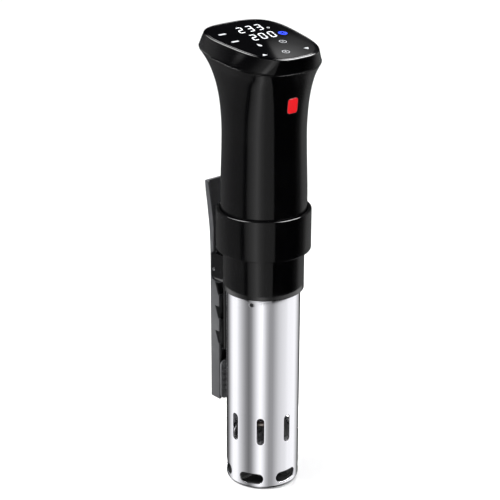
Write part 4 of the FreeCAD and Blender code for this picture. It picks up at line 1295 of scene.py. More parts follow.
    def signs(self, shell: Shell) -> None:
        """The keys' signs: two arrows, a clock, a power ring, a drop, two rounded bars and a degree ring.

        Args:
            shell: what they are added to.
        """
        corners = ((-2.5, -1.3), (2.5, -1.3), (0, 2.1))
        arrow = rounded_outline([(x * MM, y * MM, 0.3 * MM) for x, y in corners], 4)
        self.put(shell, arrow, self.up_key)
        self.put(shell, -arrow, self.down_key)
        for spot in self.bars:
            self.put(shell, rounded_rectangle(3.4 * MM, 1.1 * MM, 0.7 * MM), spot)
        for spot in (self.clock_key, self.power_key):
            self.put(shell, self.circle(3.0), spot, self.circle(2.55))
        x, y = self.clock_key
        self.put(shell, rounded_rectangle(0.25 * MM, 0.95 * MM, 0.2 * MM), (x, y + 0.75))
        self.put(shell, rounded_rectangle(0.75 * MM, 0.25 * MM, 0.2 * MM), (x + 0.55, y))
        x, y = self.power_key
        self.put(shell, rounded_rectangle(0.35 * MM, 1.3 * MM, 0.3 * MM), (x, y + 0.2))
        turn = turns(36)
        drop = np.stack([1.75 * np.cos(turn) * (1 - np.sin(turn)) ** 0.75 * 0.75, 2.9 * np.sin(turn)], 1) * MM
        self.put(shell, drop, self.heat_key)
        self.put(shell, self.circle(1.3), self.degree_mark, self.circle(0.75))

    def build(self) -> None:
        """Makes the lens and the lit signs."""
        self.lens()
        white = Shell()
        self.digits(white)
        white.piece("panel_digits", self.palette.white, self.body)
        grey = Shell()
        self.signs(grey)
        grey.piece("key_signs", self.palette.grey, self.body)
        blue = Shell()
        self.put(blue, self.circle(3.7, 72), self.pump_light, self.circle(2.2, 72, 0.62))
        blue.piece("pump_light", self.palette.blue, self.body)


# ---------------------------------------------------------------------------------------------
# Lower housing and clamp
# ---------------------------------------------------------------------------------------------
@dataclass
class LowerHousing:
    """The barrel between the handle and the sleeve, a turned outline."""

    palette: Palette
    body: str = "machine"
    radius: float = 32.75 * MM
    bottom: float = 171.0 * MM
    top: float = 236.0 * MM
    floor: tuple[float, float] = (177.5 * MM, 181.5 * MM)
    skirt_in: float = 30.25 * MM
    bay: float = 29.6 * MM
    rim_in: float = 24.4 * MM

    def build(self) -> None:
        """Makes the barrel with its skirt, its floor and its upper rim."""
        rim = self.top - 3 * MM
        outline = rounded_outline([
            (self.radius, self.bottom, 0.9 * MM), (self.radius, self.top, 0.4 * MM),
            (self.rim_in, self.top, 0.2 * MM),
            (self.rim_in, rim, 0.2 * MM), (self.bay, rim, 0), (self.bay, self.floor[1], 0.6 * MM),
            (3.2 * MM, self.floor[1], 0.2 * MM), (3.2 * MM, self.floor[0], 0.2 * MM),
            (self.skirt_in, self.floor[0], 0.6 * MM), (self.skirt_in, self.bottom, 0.35 * MM),
        ], 8)
        shell = Shell()
        shell.lathe(outline, 192)
        gloss = self.palette["gloss_black"]
        shell.piece("lower_barrel", gloss, self.body, ["lower_housing"], 35)


@dataclass
class ClampCollar:
    """The swivelling collar with its long inner jaw, two hinge cheeks and the bridge the spring rests on."""

    palette: Palette
    body: str = "swivel"
    radius: float = 38.0 * MM
    bottom: float = 205.3 * MM
    top: float = 239.1 * MM
    bore: float = 33.0 * MM
    jaw_radii: tuple[float, float] = (33.2 * MM, 36.2 * MM)
    jaw_half: float = 14.0 * MM
    jaw_bottom: float = 106.0 * MM
    cheek_in: float = 11.2 * MM
    # the hinge cheek's side outline: y, z and corner radius
    cheek: tuple[tuple[float, float, float], ...] = (
        (31.8, 167.2, 0.6), (44.0, 167.2, 3.0), (47.0, 168.4, 2.5), (48.6, 171.6, 3.0), (48.6, 176.6, 4.0),
        (46.3, 188.8, 1.5), (45.2, 190.0, 1.0), (31.8, 190.0, 0.6),
    )
    bridge_top: float = 172.8 * MM

    def on_jaw(self, points: Array) -> Array:
        """Local points (along the arc, up, outwards) bent round the shaft's back: x = r sin, y = r cos.

        Args:
            points: the local points, three columns.

        Returns:
            The points in the frame.
        """
        middle = sum(self.jaw_radii) / 2
        turn = points[:, 0] / middle
        r = middle + points[:, 2]
        return np.stack([r * np.sin(turn), r * np.cos(turn), points[:, 1]], -1)

    def build(self) -> None:
        """Makes the collar's one piece."""
        ring = rounded_outline([
            (self.bore, self.bottom + 1.9 * MM, 0), (34.5 * MM, self.bottom + 1.9 * MM, 0),
            (34.5 * MM, self.bottom, 0.25 * MM), (self.radius, self.bottom, 1.25 * MM),
            (self.radius, self.top, 0.85 * MM), (35.1 * MM, self.top, 0.3 * MM),
            (35.1 * MM, self.top - 3.5 * MM, 0), (self.bore, self.top - 3.5 * MM, 0.2 * MM),
        ], 8)
        shell = Shell()
        shell.lathe(ring, 192)
        thick = (self.jaw_radii[1] - self.jaw_radii[0]) / 2
        middle = sum(self.jaw_radii) / 2
        arc = middle * math.asin(self.jaw_half / self.jaw_radii[1])
        top = self.bottom + 3 * MM
        height = (top - self.jaw_bottom) / 2
        mid = (top + self.jaw_bottom) / 2

        def jaw(points: Array) -> Array:
            """Lays local points on the inner jaw."""
            return self.on_jaw(points + np.array([0, mid, 0]))

        shell.slab(rounded_rectangle(arc, height, 2.4 * MM), -thick, thick, 0.6 * MM, jaw, 14)
        cheek = rounded_outline([(y * MM, z * MM, r * MM) for y, z, r in self.cheek])
        for side in (-1, 1):
            low, high = sorted((side * self.cheek_in, side * self.jaw_half))
            shell.slab(cheek, low, high, 0.4 * MM, shifted(0, 0, 0, "YZX"), 3)
        bridge = shifted(0, 35.9 * MM, self.bridge_top - 1.25 * MM)
        outline = rounded_rectangle(self.cheek_in + 0.6 * MM, 2.4 * MM, 0.5 * MM)
        shell.slab(outline, -1.25 * MM, 1.25 * MM, 0.3 * MM, bridge, 3)
        gloss = self.palette["gloss_black"]
        shell.piece("collar_and_jaw", gloss, self.body, ["clamp_collar"], 35)


@dataclass
class ClampLever:
    """The sprung outer jaw: a channel with notched flanges that thins into the thumb tab, and its pad."""

    palette: Palette
    body: str = "jaw"
    wall: float = 2.3 * MM
    half_width: float = 14.0 * MM
    waist: float = 10.6 * MM
    shoulders: tuple[float, float] = (165.0 * MM, 191.4 * MM)
    ends: tuple[float, float] = (58.6 * MM, 250.0 * MM)
    tip: float = 39.1 * MM
    back: float = 50.7 * MM
    notch_drop: float = 11.0 * MM
    notch_tops: tuple[float, ...] = (165.0 * MM, 143.8 * MM, 121.4 * MM)
    notch_depths: tuple[float, float] = (44.2 * MM, 40.2 * MM)
    pin: tuple[float, float] = (45.5 * MM, 175.6 * MM)
    # where the sides are cut away for the cheeks, as height and place
    cheek_room: tuple[tuple[float, float], ...] = (
        (165.0, 43.6), (166.4, 47.2), (169.4, 48.9), (189.0, 48.9), (191.4, 46.2),
    )
    # heights and places of the channel's outside, and of the flanges' tips above the waist
    outside: tuple[tuple[float, float], ...] = (
        (188.0, 50.7), (199.0, 51.1), (210.0, 51.7), (221.0, 53.1), (232.0, 54.7), (241.0, 56.2),
        (250.0, 56.98),
    )
    inside: tuple[tuple[float, float], ...] = (
        (165.2, 39.1), (169.0, 41.7), (191.4, 45.8), (214.0, 45.8), (234.0, 48.9), (245.0, 51.2),
        (250.0, 52.3),
    )

    def heights(self) -> Array:
        """Where the channel has rows of points: even steps, and close pairs at each notch and shoulder."""
        step = 0.15 * MM
        low, high = self.shoulders
        even = np.concatenate([
            np.linspace(*self.ends, 90),
            np.linspace(low, low + 5 * MM, 12),
            np.linspace(high - 4 * MM, high, 9),
        ])
        steps = [top - drop for top in self.notch_tops for drop in (0, self.notch_drop)]
        steps += [low, high, low - self.wall, high + self.wall]
        near = [z + d for z in steps for d in (-step, step)]
        for end, way in zip(self.ends, (1, -1)):
            near += [end + way * d * MM for d in (0.12, 0.25, 0.5)]
        return np.unique(np.concatenate([even, near]).round(7))

    def flange_tip(self, z: Array) -> Array:
        """The flanges' inner edge: straight, but cut back at each notch's top and rising to its foot.

        Args:
            z: the heights.

        Returns:
            The edge's place along Y at each height.
        """
        inside = np.array(self.inside) * MM
        edge = smooth_through(z, inside[:, 0], inside[:, 1])
        edge = np.where(z < self.inside[0][0] * MM, self.tip, edge)
        deep, shallow = self.notch_depths
        for top in self.notch_tops:
            share = (top - z) / self.notch_drop
            edge = np.where((share > 0) & (share < 1), deep + (shallow - deep) * share, edge)
        return edge

    def channel(self, shell: Shell) -> None:
        """The channel: a U outline whose corners are arcs, carried up with its width and depth changing.

        Args:
            shell: what it is added to.
        """
        z = self.heights()
        low, high = self.ends
        edge = 0.5 * MM
        near = np.minimum(np.minimum(z - low, high - z), edge)
        draw = edge - np.sqrt(np.maximum(edge**2 - (edge - near) ** 2, 0))
        between = (z > self.shoulders[0]) & (z < self.shoulders[1])
        thick = (z > self.shoulders[0] - self.wall) & (z < self.shoulders[1] + self.wall)
        outer = np.array([(low / MM, 50.7), *self.outside]) * MM
        back = np.where(z > outer[1, 0], smooth_through(z, outer[1:, 0], outer[1:, 1]), outer[0, 1]) - draw
        tip = self.flange_tip(z) + draw
        room = np.array(self.cheek_room) * MM
        ledge = np.where(between, np.interp(z, room[:, 0], room[:, 1]), (tip + back) / 2)
        wide = np.full_like(z, self.half_width) - draw
        flange = np.where(between, self.waist, self.half_width) - draw
        hollow = np.where(thick, self.waist, self.half_width) - self.wall + 0.6 * draw
        floor = back - self.wall + 1.6 * draw
        bend = np.linspace(0, math.pi / 2, 6)
        w, b, t, s, f, h, q = (v[:, None] for v in (wide, back, tip, ledge, flange, hollow, floor))
        big, small, inner = 1.5 * MM, 0.45 * MM, 0.8 * MM
        runs = [
            (w - big + big * np.sin(bend), b - big + big * np.cos(bend)),
            (np.hstack([w, f]), np.hstack([s, s])),
            (f - small + small * np.cos(bend), t + small - small * np.sin(bend)),
            (h + small - small * np.sin(bend), t + small - small * np.cos(bend)),
            (h - inner + inner * np.cos(bend), q - inner + inner * np.sin(bend)),
        ]
        x = np.hstack([run[0] for run in runs])
        y = np.hstack([run[1] for run in runs])
        x, y = np.hstack([x, -x[:, ::-1]]), np.hstack([y, y[:, ::-1]])
        points = np.stack([x, y, np.broadcast_to(z[:, None], x.shape)], -1)
        numbers = shell.grid(points)
        shell.faces += [numbers[:1, ::-1], numbers[-1:]]

    def build(self) -> None:
        """Makes the lever and its pad."""
        shell = Shell()
        self.channel(shell)
        floor = self.ends[0] + 1.4 * MM
        base = rounded_rectangle(12.6 * MM, 5.0 * MM, 1.0 * MM)
        shell.slab(base, -1.1 * MM, 1.1 * MM, 0.3 * MM, shifted(0, 44.6 * MM, floor), 3)
        rib = rounded_rectangle(11.9 * MM, 2.2 * MM, 0.4 * MM)
        for z in (100.8 * MM, 127.3 * MM, 150.0 * MM):
            shell.slab(rib, -0.8 * MM, 0.8 * MM, 0.25 * MM, shifted(0, 46.8 * MM, z), 3)
        spine = shifted(0, 47.7 * MM, 117.0 * MM, "YZX")
        strip = rounded_rectangle(1.2 * MM, 51.0 * MM, 0.3 * MM)
        shell.slab(strip, -0.9 * MM, 0.9 * MM, 0.2 * MM, spine, 3)
        stop = shifted(0, 42.8 * MM, 152.0 * MM, "YZX")
        shell.slab(rounded_rectangle(6.2 * MM, 6.0 * MM, 1.2 * MM), -2.0 * MM, 2.0 * MM, 0.4 * MM, stop, 3)
        eye = rounded_outline([(1.56 * MM, 8.3 * MM, 0.1 * MM), (4.6 * MM, 8.3 * MM, 0.3 * MM),
                               (4.6 * MM, 10.5 * MM, 0.3 * MM), (1.56 * MM, 10.5 * MM, 0.1 * MM)], 4)
        for side in (-1, 1):
            shell.lathe(eye * np.array([1, side]), 64, "X", (0, *self.pin))
        shell.piece("lever_channel", self.palette["satin_grey"], self.body, ["clamp_lever"], 35)
        self.pad()

    def pad(self) -> None:
        """The rubber pad: a backing plate with six cushioned ridges across it."""
        low, high = self.ends[0] + 0.2 * MM, 94.6 * MM
        shell = Shell()
        middle = (low + high) / 2
        plate = shifted(0, 0, middle, "XZY")
        half = (high - low) / 2
        face = rounded_rectangle(13.4 * MM, half, 4.5 * MM)
        shell.slab(face, 37.35 * MM, self.tip - 0.02 * MM, 0.5 * MM, plate, 4)
        plug = rounded_rectangle(10.5 * MM, half - 4 * MM, 1.5 * MM)
        shell.slab(plug, self.tip - 0.2 * MM, 43.5 * MM, 0.4 * MM, plate, 3)
        edges = np.array([60.0, 66.0, 71.2, 76.4, 81.6, 86.8, 93.4]) * MM
        gap = 1.5 * MM
        for i, (z0, z1) in enumerate(zip(edges[:-1], edges[1:])):
            z0 = z0 + gap * (i > 0)
            width = 10.8 * MM if i in (0, 5) else 12.2 * MM
            ridge = rounded_rectangle(width, (z1 - z0) / 2, 1.7 * MM)
            shell.slab(ridge, 36.72 * MM, 37.6 * MM, 0.42 * MM, shifted(0, 0, (z0 + z1) / 2, "XZY"), 4)
        shell.piece("ribbed_pad", self.palette["rubber_black"], self.body, ["lever_pad"], 50)


# ---------------------------------------------------------------------------------------------
# Sleeve
# ---------------------------------------------------------------------------------------------
@dataclass(frozen=True)
class Hole:
    """A round-ended hole through the sleeve's wall."""

    half_width: float
    half_height: float
    middle: float

    def outline(self, spread: float, side: int) -> Array:
        """Its outline grown by a spread: four runs of equally many steps, one for each side of its cell.

        Args:
            spread: how much larger than the hole.
            side: steps in each run.

        Returns:
            Places along the arc and up, about the hole's middle, starting at the lower right.
        """
        width, height = self.half_width + spread, self.half_height + spread
        r = min(width, height)
        quarter = np.linspace(0, 1, side // 2 + 1)
        arc_length, flat_x, flat_y = r * math.pi / 4, width - r, height - r

        def eighths(flat: float, along_first: bool) -> Array:
            """One eighth of the outline, from the middle of a side round to the diagonal.

            Args:
                flat: half the straight run of the side that it starts on.
                along_first: whether that side is upright.

            Returns:
                The eighth's points.
            """
            way = quarter * (flat + arc_length)
            turn = np.clip(way - flat, 0, None) / r
            out, along = r * np.cos(turn), np.minimum(way, flat) + r * np.sin(turn)
            return np.stack([flat_x + out, along] if along_first else [along, flat_y + out], 1)

        right, top = eighths(flat_y, True), eighths(flat_x, False)
        down = np.array([1, -1])
        first = np.vstack([right[::-1] * down, right[1:]])
        second = np.vstack([top[::-1], top[1:] * np.array([-1, 1])])
        return np.vstack([first[:-1], second[:-1], -first[:-1], -second[:-1]])


@dataclass
class SteelSleeve:
    """The drawn steel sleeve: one closed wall with its slots, its pin holes and the rolled foot."""

    palette: Palette
    body: str = "shroud"
    radius: float = 30.0 * MM
    wall: float = 1.0 * MM
    top: float = 177.0 * MM
    roll: float = 3.0 * MM
    foot: float = 0.3 * MM
    columns: int = 192
    outlet: Hole = Hole(10.37 * MM, 4.5 * MM, 10.0 * MM)
    intake: Hole = Hole(3.1 * MM, 12.0 * MM, 54.0 * MM)
    pin_hole: Hole = Hole(1.6 * MM, 1.6 * MM, 166.1 * MM)
    outlet_band: tuple[float, float] = (3.9 * MM, 16.6 * MM)
    intake_band: tuple[float, float] = (39.0 * MM, 69.0 * MM)
    pin_band: tuple[float, float] = (162.6 * MM, 169.6 * MM)

    def bent(self, along: Array, up: Array, radius: Array | float) -> Array:
        """Places on the sleeve from an arc length at full radius: x = r sin(s/R), y = -r cos(s/R)."""
        turn = along / self.radius
        return np.stack([radius * np.sin(turn), -radius * np.cos(turn), np.broadcast_to(up, turn.shape)], -1)

    def cell(self, shell: Shell, hole: Hole, band: tuple[float, float], count: int, number: int) -> None:
        """One hole's cell: rings that pass from its rectangle to the hole, through the wall and back.

        Args:
            shell: what the cell is added to.
            hole: the hole.
            band: the cell's lowest and highest edge.
            count: how many cells go round.
            number: which cell this is.
        """
        side = self.columns // count
        half = math.pi * self.radius / count
        low, high = band[0] - hole.middle, band[1] - hole.middle
        step = np.linspace(0, 1, side, endpoint=False)
        edge = np.vstack([
            np.stack([np.full(side, half), low + (high - low) * step], 1),
            np.stack([half - 2 * half * step, np.full(side, high)], 1),
            np.stack([np.full(side, -half), high + (low - high) * step], 1),
            np.stack([2 * half * step - half, np.full(side, low)], 1),
        ])
        burr = 0.22 * MM
        inner = self.radius - self.wall
        near = hole.outline(burr, side)
        share = (np.linspace(0, 1, 10)[:-1] ** 0.8)[:, None, None]
        field_rings = edge[None] * (1 - share) + near[None] * share
        bend = np.linspace(0, math.pi / 2, 4)
        spreads = np.concatenate([burr * (1 - np.sin(bend)), burr * (1 - np.cos(bend))])
        radii = np.concatenate([self.radius - burr * (1 - np.cos(bend)), inner + burr * (1 - np.sin(bend))])
        throat = np.stack([hole.outline(s, side) for s in spreads])
        rings = np.concatenate([field_rings, throat, field_rings[::-1]])
        depth = np.concatenate([np.full(9, self.radius), radii, np.full(9, inner)])
        turn = 2 * half * number
        shell.grid(self.bent(rings[..., 0] + turn, rings[..., 1] + hole.middle, depth[:, None]))

    def plain_cell(self, shell: Shell, band: tuple[float, float], count: int, number: int) -> None:
        """A cell with no hole: two bare sheets whose edges match its neighbours' points.

        Args:
            shell: what the cell is added to.
            band: the cell's lowest and highest edge.
            count: how many cells go round.
            number: which cell this is.
        """
        side = self.columns // count
        half = math.pi * self.radius / count
        along = np.linspace(-half, half, side + 1)[None] + 2 * half * number
        up = np.linspace(*band, side + 1)[:, None]
        for radius in (self.radius, self.radius - self.wall):
            around = np.broadcast_to(along, (side + 1, side + 1))
            shell.grid(self.bent(around, up, radius), wrap_columns=False)

    def hoop(self, shell: Shell, heights: Array, radii: Array) -> None:
        """Plain rows of the wall, one for each height and radius."""
        turn = np.linspace(-math.pi, math.pi, self.columns, endpoint=False) * self.radius
        around = np.broadcast_to(turn[None], (len(heights), self.columns))
        shell.grid(self.bent(around, heights[:, None], radii[:, None]))

    def build(self) -> None:
        """Makes the sleeve, band by band, welded into one closed wall."""
        shell = Shell()
        inner = self.radius - self.wall
        for number in range(8):
            self.cell(shell, self.intake, self.intake_band, 8, number)
        for number in range(6):
            self.cell(shell, self.outlet, self.outlet_band, 6, number)
            if number % 2:
                self.cell(shell, self.pin_hole, self.pin_band, 6, number)
            else:
                self.plain_cell(shell, self.pin_band, 6, number)
        plain = (
            (self.outlet_band[1], self.intake_band[0], 12),
            (self.intake_band[1], self.pin_band[0], 40),
        )
        for low, high, rows in plain:
            up = np.linspace(low, high, rows)
            for radius in (self.radius, inner):
                self.hoop(shell, up, np.full(rows, radius))
        lip = 0.3 * MM
        bend = np.linspace(0, math.pi / 2, 4)
        start = self.pin_band[1]
        falling, rising = lip * (1 - np.cos(bend)), lip * (1 - np.sin(bend))
        heights = np.concatenate([[start], self.top - rising, self.top - falling, [start]])
        radii = np.concatenate([[self.radius], self.radius - falling, inner + rising, [inner]])
        self.hoop(shell, heights, radii)
        centre_r, centre_z = self.radius - self.roll, self.foot + self.roll
        bend = np.linspace(0, math.pi / 2, 12)
        tight = self.roll - self.wall
        start = self.outlet_band[0]
        heights = np.concatenate([
            [start], centre_z - self.roll * np.sin(bend), [self.foot, self.foot + self.wall],
            centre_z - tight * np.sin(bend[::-1]), [start],
        ])
        radii = np.concatenate([
            [self.radius], centre_r + self.roll * np.cos(bend), [centre_r - 0.8 * MM] * 2,
            centre_r + tight * np.cos(bend[::-1]), [inner],
        ])
        self.hoop(shell, heights, radii)
        steel = self.palette["brushed_steel"]
        shell.piece("slotted_sleeve", steel, self.body, ["sleeve"], 32)


# ---------------------------------------------------------------------------------------------
# Studio
# ---------------------------------------------------------------------------------------------
@dataclass
class Studio:
    """The floor, the soft light and the camera."""

    azimuth: float = -41.8
    elevation: float = 21.69
    distance: float = 1187.6 * MM
    target: tuple[float, float, float] = (0.0, 0.0, 190.0 * MM)
    roll: float = 0.13
    focal_pixels: float = 1478.1
    picture: float = 500.0
    sensor: float = 36.0
    aim_off: tuple[float, float] = (-10.85 * MM, 11.25 * MM)
    floor_half: float = 30.0
    # what surrounds the object, as direction from the camera's side in degrees and strength
    surround_curve: tuple[tuple[float, float], ...] = (
        (-180, 0.04), (-150, 0.04), (-134, 0.4), (-122, 1.05), (-108, 1.6), (-90, 1.6), (-78, 1.08),
        (-66, 0.70), (-55, 0.41), (-45, 0.26), (-36, 0.40), (-25, 0.92), (-15, 1.45), (-7, 1.72),
        (3, 1.28), (12, 0.72),
        (21, 0.44), (31, 0.44), (42, 0.70), (52, 0.94), (63, 1.09), (75, 1.21), (88, 1.45), (118, 1.55),
        (137, 0.8), (155, 0.06), (180, 0.04),
    )
    # the same for the screens that only the handle mirrors
    screen_curve: tuple[tuple[float, float], ...] = (
        (-180, 0.02), (-162, 0.06), (-138, 0.13), (-111, 0.17), (-90, 0.15), (-67, 0.15), (-59, 0.13),
        (-54, 0.03), (-47, 0.03), (-43, 0.22), (-29, 0.54), (-17.5, 0.84), (-6.5, 0.46), (3, 0.30),
        (25, 0.24), (28, 0.0),
        (86, 0.0), (105, 0.06), (120, 0.24), (128, 0.28), (155, 0.14), (170, 0.04), (180, 0.02),
    )
    screen_radius: float = 0.12
    screen_heights: tuple[float, float] = (0.1295, 0.350)
    mirror_radius: float = 33.5 * MM
    upper_strength: float = 18.0
    # the card that the panel mirrors: where its side, top and middle are seen on the panel, in millimetres
    card_edge: tuple[tuple[float, float], ...] = ((-2.0, -3.8), (-16.4, -29.2))
    card_top: tuple[tuple[float, float], ...] = ((30.0, 8.0), (-30.0, 8.0))
    card_middle: tuple[float, float] = (12.0, -20.0)
    card_strength: float = 0.8
    ambient: float = 0.25
    ceiling: float = 2.6

    def axes(self) -> tuple[Vector, Vector, Vector]:
        """The view's right, up and backward directions."""
        a, e = math.radians(self.azimuth), math.radians(self.elevation)
        back = Vector((math.sin(a) * math.cos(e), -math.cos(a) * math.cos(e), math.sin(e)))
        right = Vector((math.cos(a), math.sin(a), 0.0))
        return right, back.cross(right), back

    def camera(self) -> None:
        """Places the camera at the view's angle, aimed a little off the shaft."""
        right, up, back = self.axes()
        data = bpy.data.cameras.new("camera")
        data.sensor_width = self.sensor
        data.lens = self.focal_pixels / self.picture * self.sensor
        camera = bpy.data.objects.new("camera", data)
        camera.location = Vector(self.target) + back * self.distance
        aim = Vector(self.target) + right * self.aim_off[0] + up * self.aim_off[1]
        look = (aim - camera.location).to_track_quat("-Z", "Y").to_matrix()
        camera.rotation_euler = (look @ Matrix.Rotation(math.radians(self.roll), 3, "Z")).to_euler()
        bpy.context.scene.collection.objects.link(camera)
        bpy.context.scene.camera = camera

    def bearing(self, graph: Graph, coordinates: Value) -> tuple[Value, Value]:
        """A direction's angle from the camera's side, from 0 at -180 to 1 at 180 degrees, and its rise.

        Args:
            graph: the node tree.
            coordinates: the direction, of any length.

        Returns:
            The angle as a share of a turn, and the upward part of the unit direction.
        """
        direction = graph.value("ShaderNodeVectorMath", {"operation": "NORMALIZE"}, {0: coordinates})
        x, y, z = graph.parts(direction)
        a = math.radians(self.azimuth)
        across = x * math.cos(a) + y * math.sin(a)
        towards = x * math.sin(a) - y * math.cos(a)
        return across.math("ARCTAN2", towards) / (2 * math.pi) + 0.5, z

    @staticmethod
    def along(graph: Graph, share: Value, curve: Sequence[tuple[float, float]]) -> Value:
        """A strength from a curve of (degrees, strength), read through a ramp that holds up to 2.5.

        Args:
            graph: the node tree.
            share: the angle as a share of a turn.
            curve: the points.

        Returns:
            The strength.
        """
        stops = [(d / 360 + 0.5, (v / 2.5,) * 3) for d, v in curve]
        ramp = graph.value("ShaderNodeValToRGB", {"stops": stops}, {0: share})
        return graph.value("ShaderNodeRGBToBW", None, {0: ramp}) * 2.5

    def card(self, graph: Graph, panel: "TouchPanel") -> Value:
        """Where the card is: on one side of two planes, each through the mirrored camera and an edge.

        Args:
            graph: the world's node tree.
            panel: the panel that mirrors the card.

        Returns:
            The card's strength from 0 to 1, falling off away from its edge and towards its top.
        """
        lean = math.radians(panel.handle.panel_tilt)
        normal = np.array([0.0, -math.sin(lean), math.cos(lean)])
        at = np.array(self.target) + np.array(self.axes()[2]) * self.distance
        mirrored = at - 2 * normal * ((at - panel.on_face(np.zeros((1, 3)))[0]) @ normal)
        inside = panel.on_face(np.array([(*self.card_middle, 0.0)]) * MM)[0] - mirrored
        here = graph.value("ShaderNodeTexCoord", output="Generated")
        sides = []
        for edge in (self.card_edge, self.card_top):
            ends = panel.on_face(np.array([(*end, 0.0) for end in edge]) * MM) - mirrored
            plane = np.cross(*ends)
            plane *= np.sign(plane @ inside) / np.linalg.norm(plane)
            inputs = {0: here, 1: tuple(float(v) for v in plane)}
            sides.append(graph.value("ShaderNodeVectorMath", {"operation": "DOT_PRODUCT"}, inputs, "Value"))
        beside, below = sides
        return beside.step(0.0, 0.0012) * (1.0 - beside.step(0.0, 0.034) * 0.95) * below.step(0.0, 0.02)

    def surround(self, panel: "TouchPanel") -> None:
        """The world: what polished parts mirror, a plain ambient light, and white for the camera's own rays.

        Args:
            panel: the panel that mirrors the card.
        """
        world = bpy.data.worlds.new("studio")
        world.use_nodes = True
        bpy.context.scene.world = world
        graph = Graph(world.node_tree)
        share, up = self.bearing(graph, graph.value("ShaderNodeTexCoord", output="Generated"))
        level = self.along(graph, share, self.surround_curve) * (1.0 - up.step(-0.05, 0.12) * 0.72)
        steep = 1.0 - up.step(-0.72, -0.60)
        level = level * (1.0 - up.step(0.35, 0.6)) * (1.0 - steep)
        level = level + self.along(graph, share, self.screen_curve) * steep
        right = (share - 0.5) * 360.0
        left = 0.0 - right
        upper = right.step(50, 75) * (1.0 - right.step(150, 166)) * 1.3
        upper = upper + left.step(55, 75) * (1.0 - left.step(105, 125) * 0.65) * (1.0 - left.step(150, 164))
        upper = upper * up.step(0.54, 0.66) * (1.0 - up.step(0.9, 0.97))
        level = level + upper * self.upper_strength + self.card(graph, panel) * self.card_strength
        rays = graph.node("ShaderNodeLightPath")
        mirrored = graph.node("ShaderNodeBackground", inputs={"Strength": level})
        soft = graph.node("ShaderNodeBackground", inputs={"Color": (1, 1, 1, 1), "Strength": self.ambient})
        plain = graph.node("ShaderNodeBackground", inputs={"Color": (1, 1, 1, 1), "Strength": 1.0})
        inner = {0: rays.outputs["Is Glossy Ray"], 1: soft.outputs[0], 2: mirrored.outputs[0]}
        lit = graph.node("ShaderNodeMixShader", inputs=inner)
        outer = {0: rays.outputs["Is Camera Ray"], 1: lit.outputs[0], 2: plain.outputs[0]}
        seen = graph.node("ShaderNodeMixShader", inputs=outer)
        graph.node("ShaderNodeOutputWorld", inputs={0: seen.outputs[0]})

    def screens(self) -> None:
        """A ring of screens that only the handle mirrors: x = R sin, y = -R cos.

        A handle of radius r mirrors direction d at the ring's angle d - asin(r / R sin(d / 2)).
        """
        turn = np.append(turns(96), 2 * math.pi)
        heights = np.linspace(*self.screen_heights, 4)
        ring = np.stack([self.screen_radius * np.sin(turn), -self.screen_radius * np.cos(turn)], -1)
        points = np.concatenate([np.column_stack([ring, np.full(len(ring), h)]) for h in heights])
        n = np.arange(len(points)).reshape(len(heights), len(ring))
        faces = np.stack([n[:-1, :-1], n[:-1, 1:], n[1:, 1:], n[1:, :-1]], -1).reshape(-1, 4)
        mesh = bpy.data.meshes.new("screens")
        mesh.from_pydata(points.tolist(), [], faces.tolist())
        material = bpy.data.materials.new("screen light")
        material.use_nodes = True
        graph = Graph(material.node_tree)
        share, _ = self.bearing(graph, graph.value("ShaderNodeTexCoord", output="Object"))
        closeness = self.mirror_radius / self.screen_radius
        curve = [(d - math.degrees(math.asin(closeness * math.sin(math.radians(d / 2)))), v)
                 for d, v in self.screen_curve[1:-1]]
        curve = [self.screen_curve[0], *curve, self.screen_curve[-1]]
        light = graph.node("ShaderNodeEmission", inputs={"Strength": self.along(graph, share, curve)})
        graph.node("ShaderNodeOutputMaterial", inputs={"Surface": light.outputs[0]})
        mesh.materials.append(material)
        screens = bpy.data.objects.new("screens", mesh)
        for ray in ("camera", "diffuse", "transmission", "volume_scatter", "shadow"):
            setattr(screens, f"visible_{ray}", False)
        bpy.context.scene.collection.objects.link(screens)

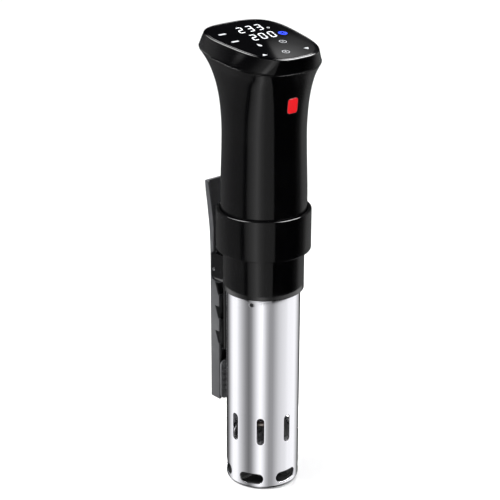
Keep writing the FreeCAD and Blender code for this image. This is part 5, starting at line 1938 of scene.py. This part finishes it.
    def softbox(self, name: str, place: Sequence[float], size: tuple[float, float], power: float) -> None:
        """An area light aimed at the object's middle, unseen by the camera.

        Args:
            name: the light's name.
            place: where it stands.
            size: its width and height.
            power: its power in watts.
        """
        data = bpy.data.lights.new(name, "AREA")
        data.shape = "RECTANGLE"
        data.size, data.size_y = size
        data.energy = power
        light = bpy.data.objects.new(name, data)
        light.location = place
        light.rotation_euler = (Vector(self.target) - Vector(place)).to_track_quat("-Z", "Y").to_euler()
        light.visible_camera = False
        light.visible_glossy = False
        bpy.context.scene.collection.objects.link(light)

    def floor(self) -> None:
        """The pale floor: a square of points spaced by the cube of an even step, finer near the object."""
        step = np.linspace(-1, 1, 33) ** 3 * self.floor_half
        x, y = np.meshgrid(step, step, indexing="ij")
        mesh = bpy.data.meshes.new("floor")
        points = np.stack([x, y, np.zeros_like(x)], -1).reshape(-1, 3)
        n = np.arange(33 * 33).reshape(33, 33)
        faces = np.stack([n[:-1, :-1], n[1:, :-1], n[1:, 1:], n[:-1, 1:]], -1).reshape(-1, 4)
        mesh.from_pydata(points.tolist(), [], faces.tolist())
        mesh.materials.append(StudioPaper("floor paper", (0.86, 0.86, 0.86), 0.7).make())
        floor = bpy.data.objects.new("floor", mesh)
        floor.visible_glossy = False
        bpy.context.scene.collection.objects.link(floor)

    def build(self, panel: TouchPanel) -> None:
        """Sets up everything round the object, whose panel is given."""
        self.camera()
        self.surround(panel)
        self.screens()
        self.floor()
        right, _, back = self.axes()
        middle = Vector(self.target)
        over = Vector((0, 0, 1.0))
        self.softbox("key", middle + back * 0.25 - right * 1.2 + over * 0.35, (0.6, 1.0), 30)
        self.softbox("fill", middle + back * 1.1 + right * 0.5 + over * 0.5, (0.7, 0.7), 7)
        sun = bpy.data.lights.new("ceiling", "SUN")
        sun.angle = math.radians(70)
        sun.energy = self.ceiling
        ceiling = bpy.data.objects.new("ceiling", sun)
        ceiling.visible_glossy = False
        bpy.context.scene.collection.objects.link(ceiling)
        bpy.context.scene.view_settings.view_transform = "Standard"


# ---------------------------------------------------------------------------------------------
def main() -> None:
    """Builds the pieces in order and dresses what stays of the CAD."""
    logging.basicConfig(level=logging.INFO, format="%(name)s: %(message)s")
    palette = Palette()
    palette.dress_nodes()
    handle = Handle(palette)
    panel = TouchPanel(palette, handle)
    Studio().build(panel)
    handle.build()
    panel.build()
    LowerHousing(palette).build()
    ClampCollar(palette).build()
    ClampLever(palette).build()
    SteelSleeve(palette).build()


if __name__ == "__main__":
    main()
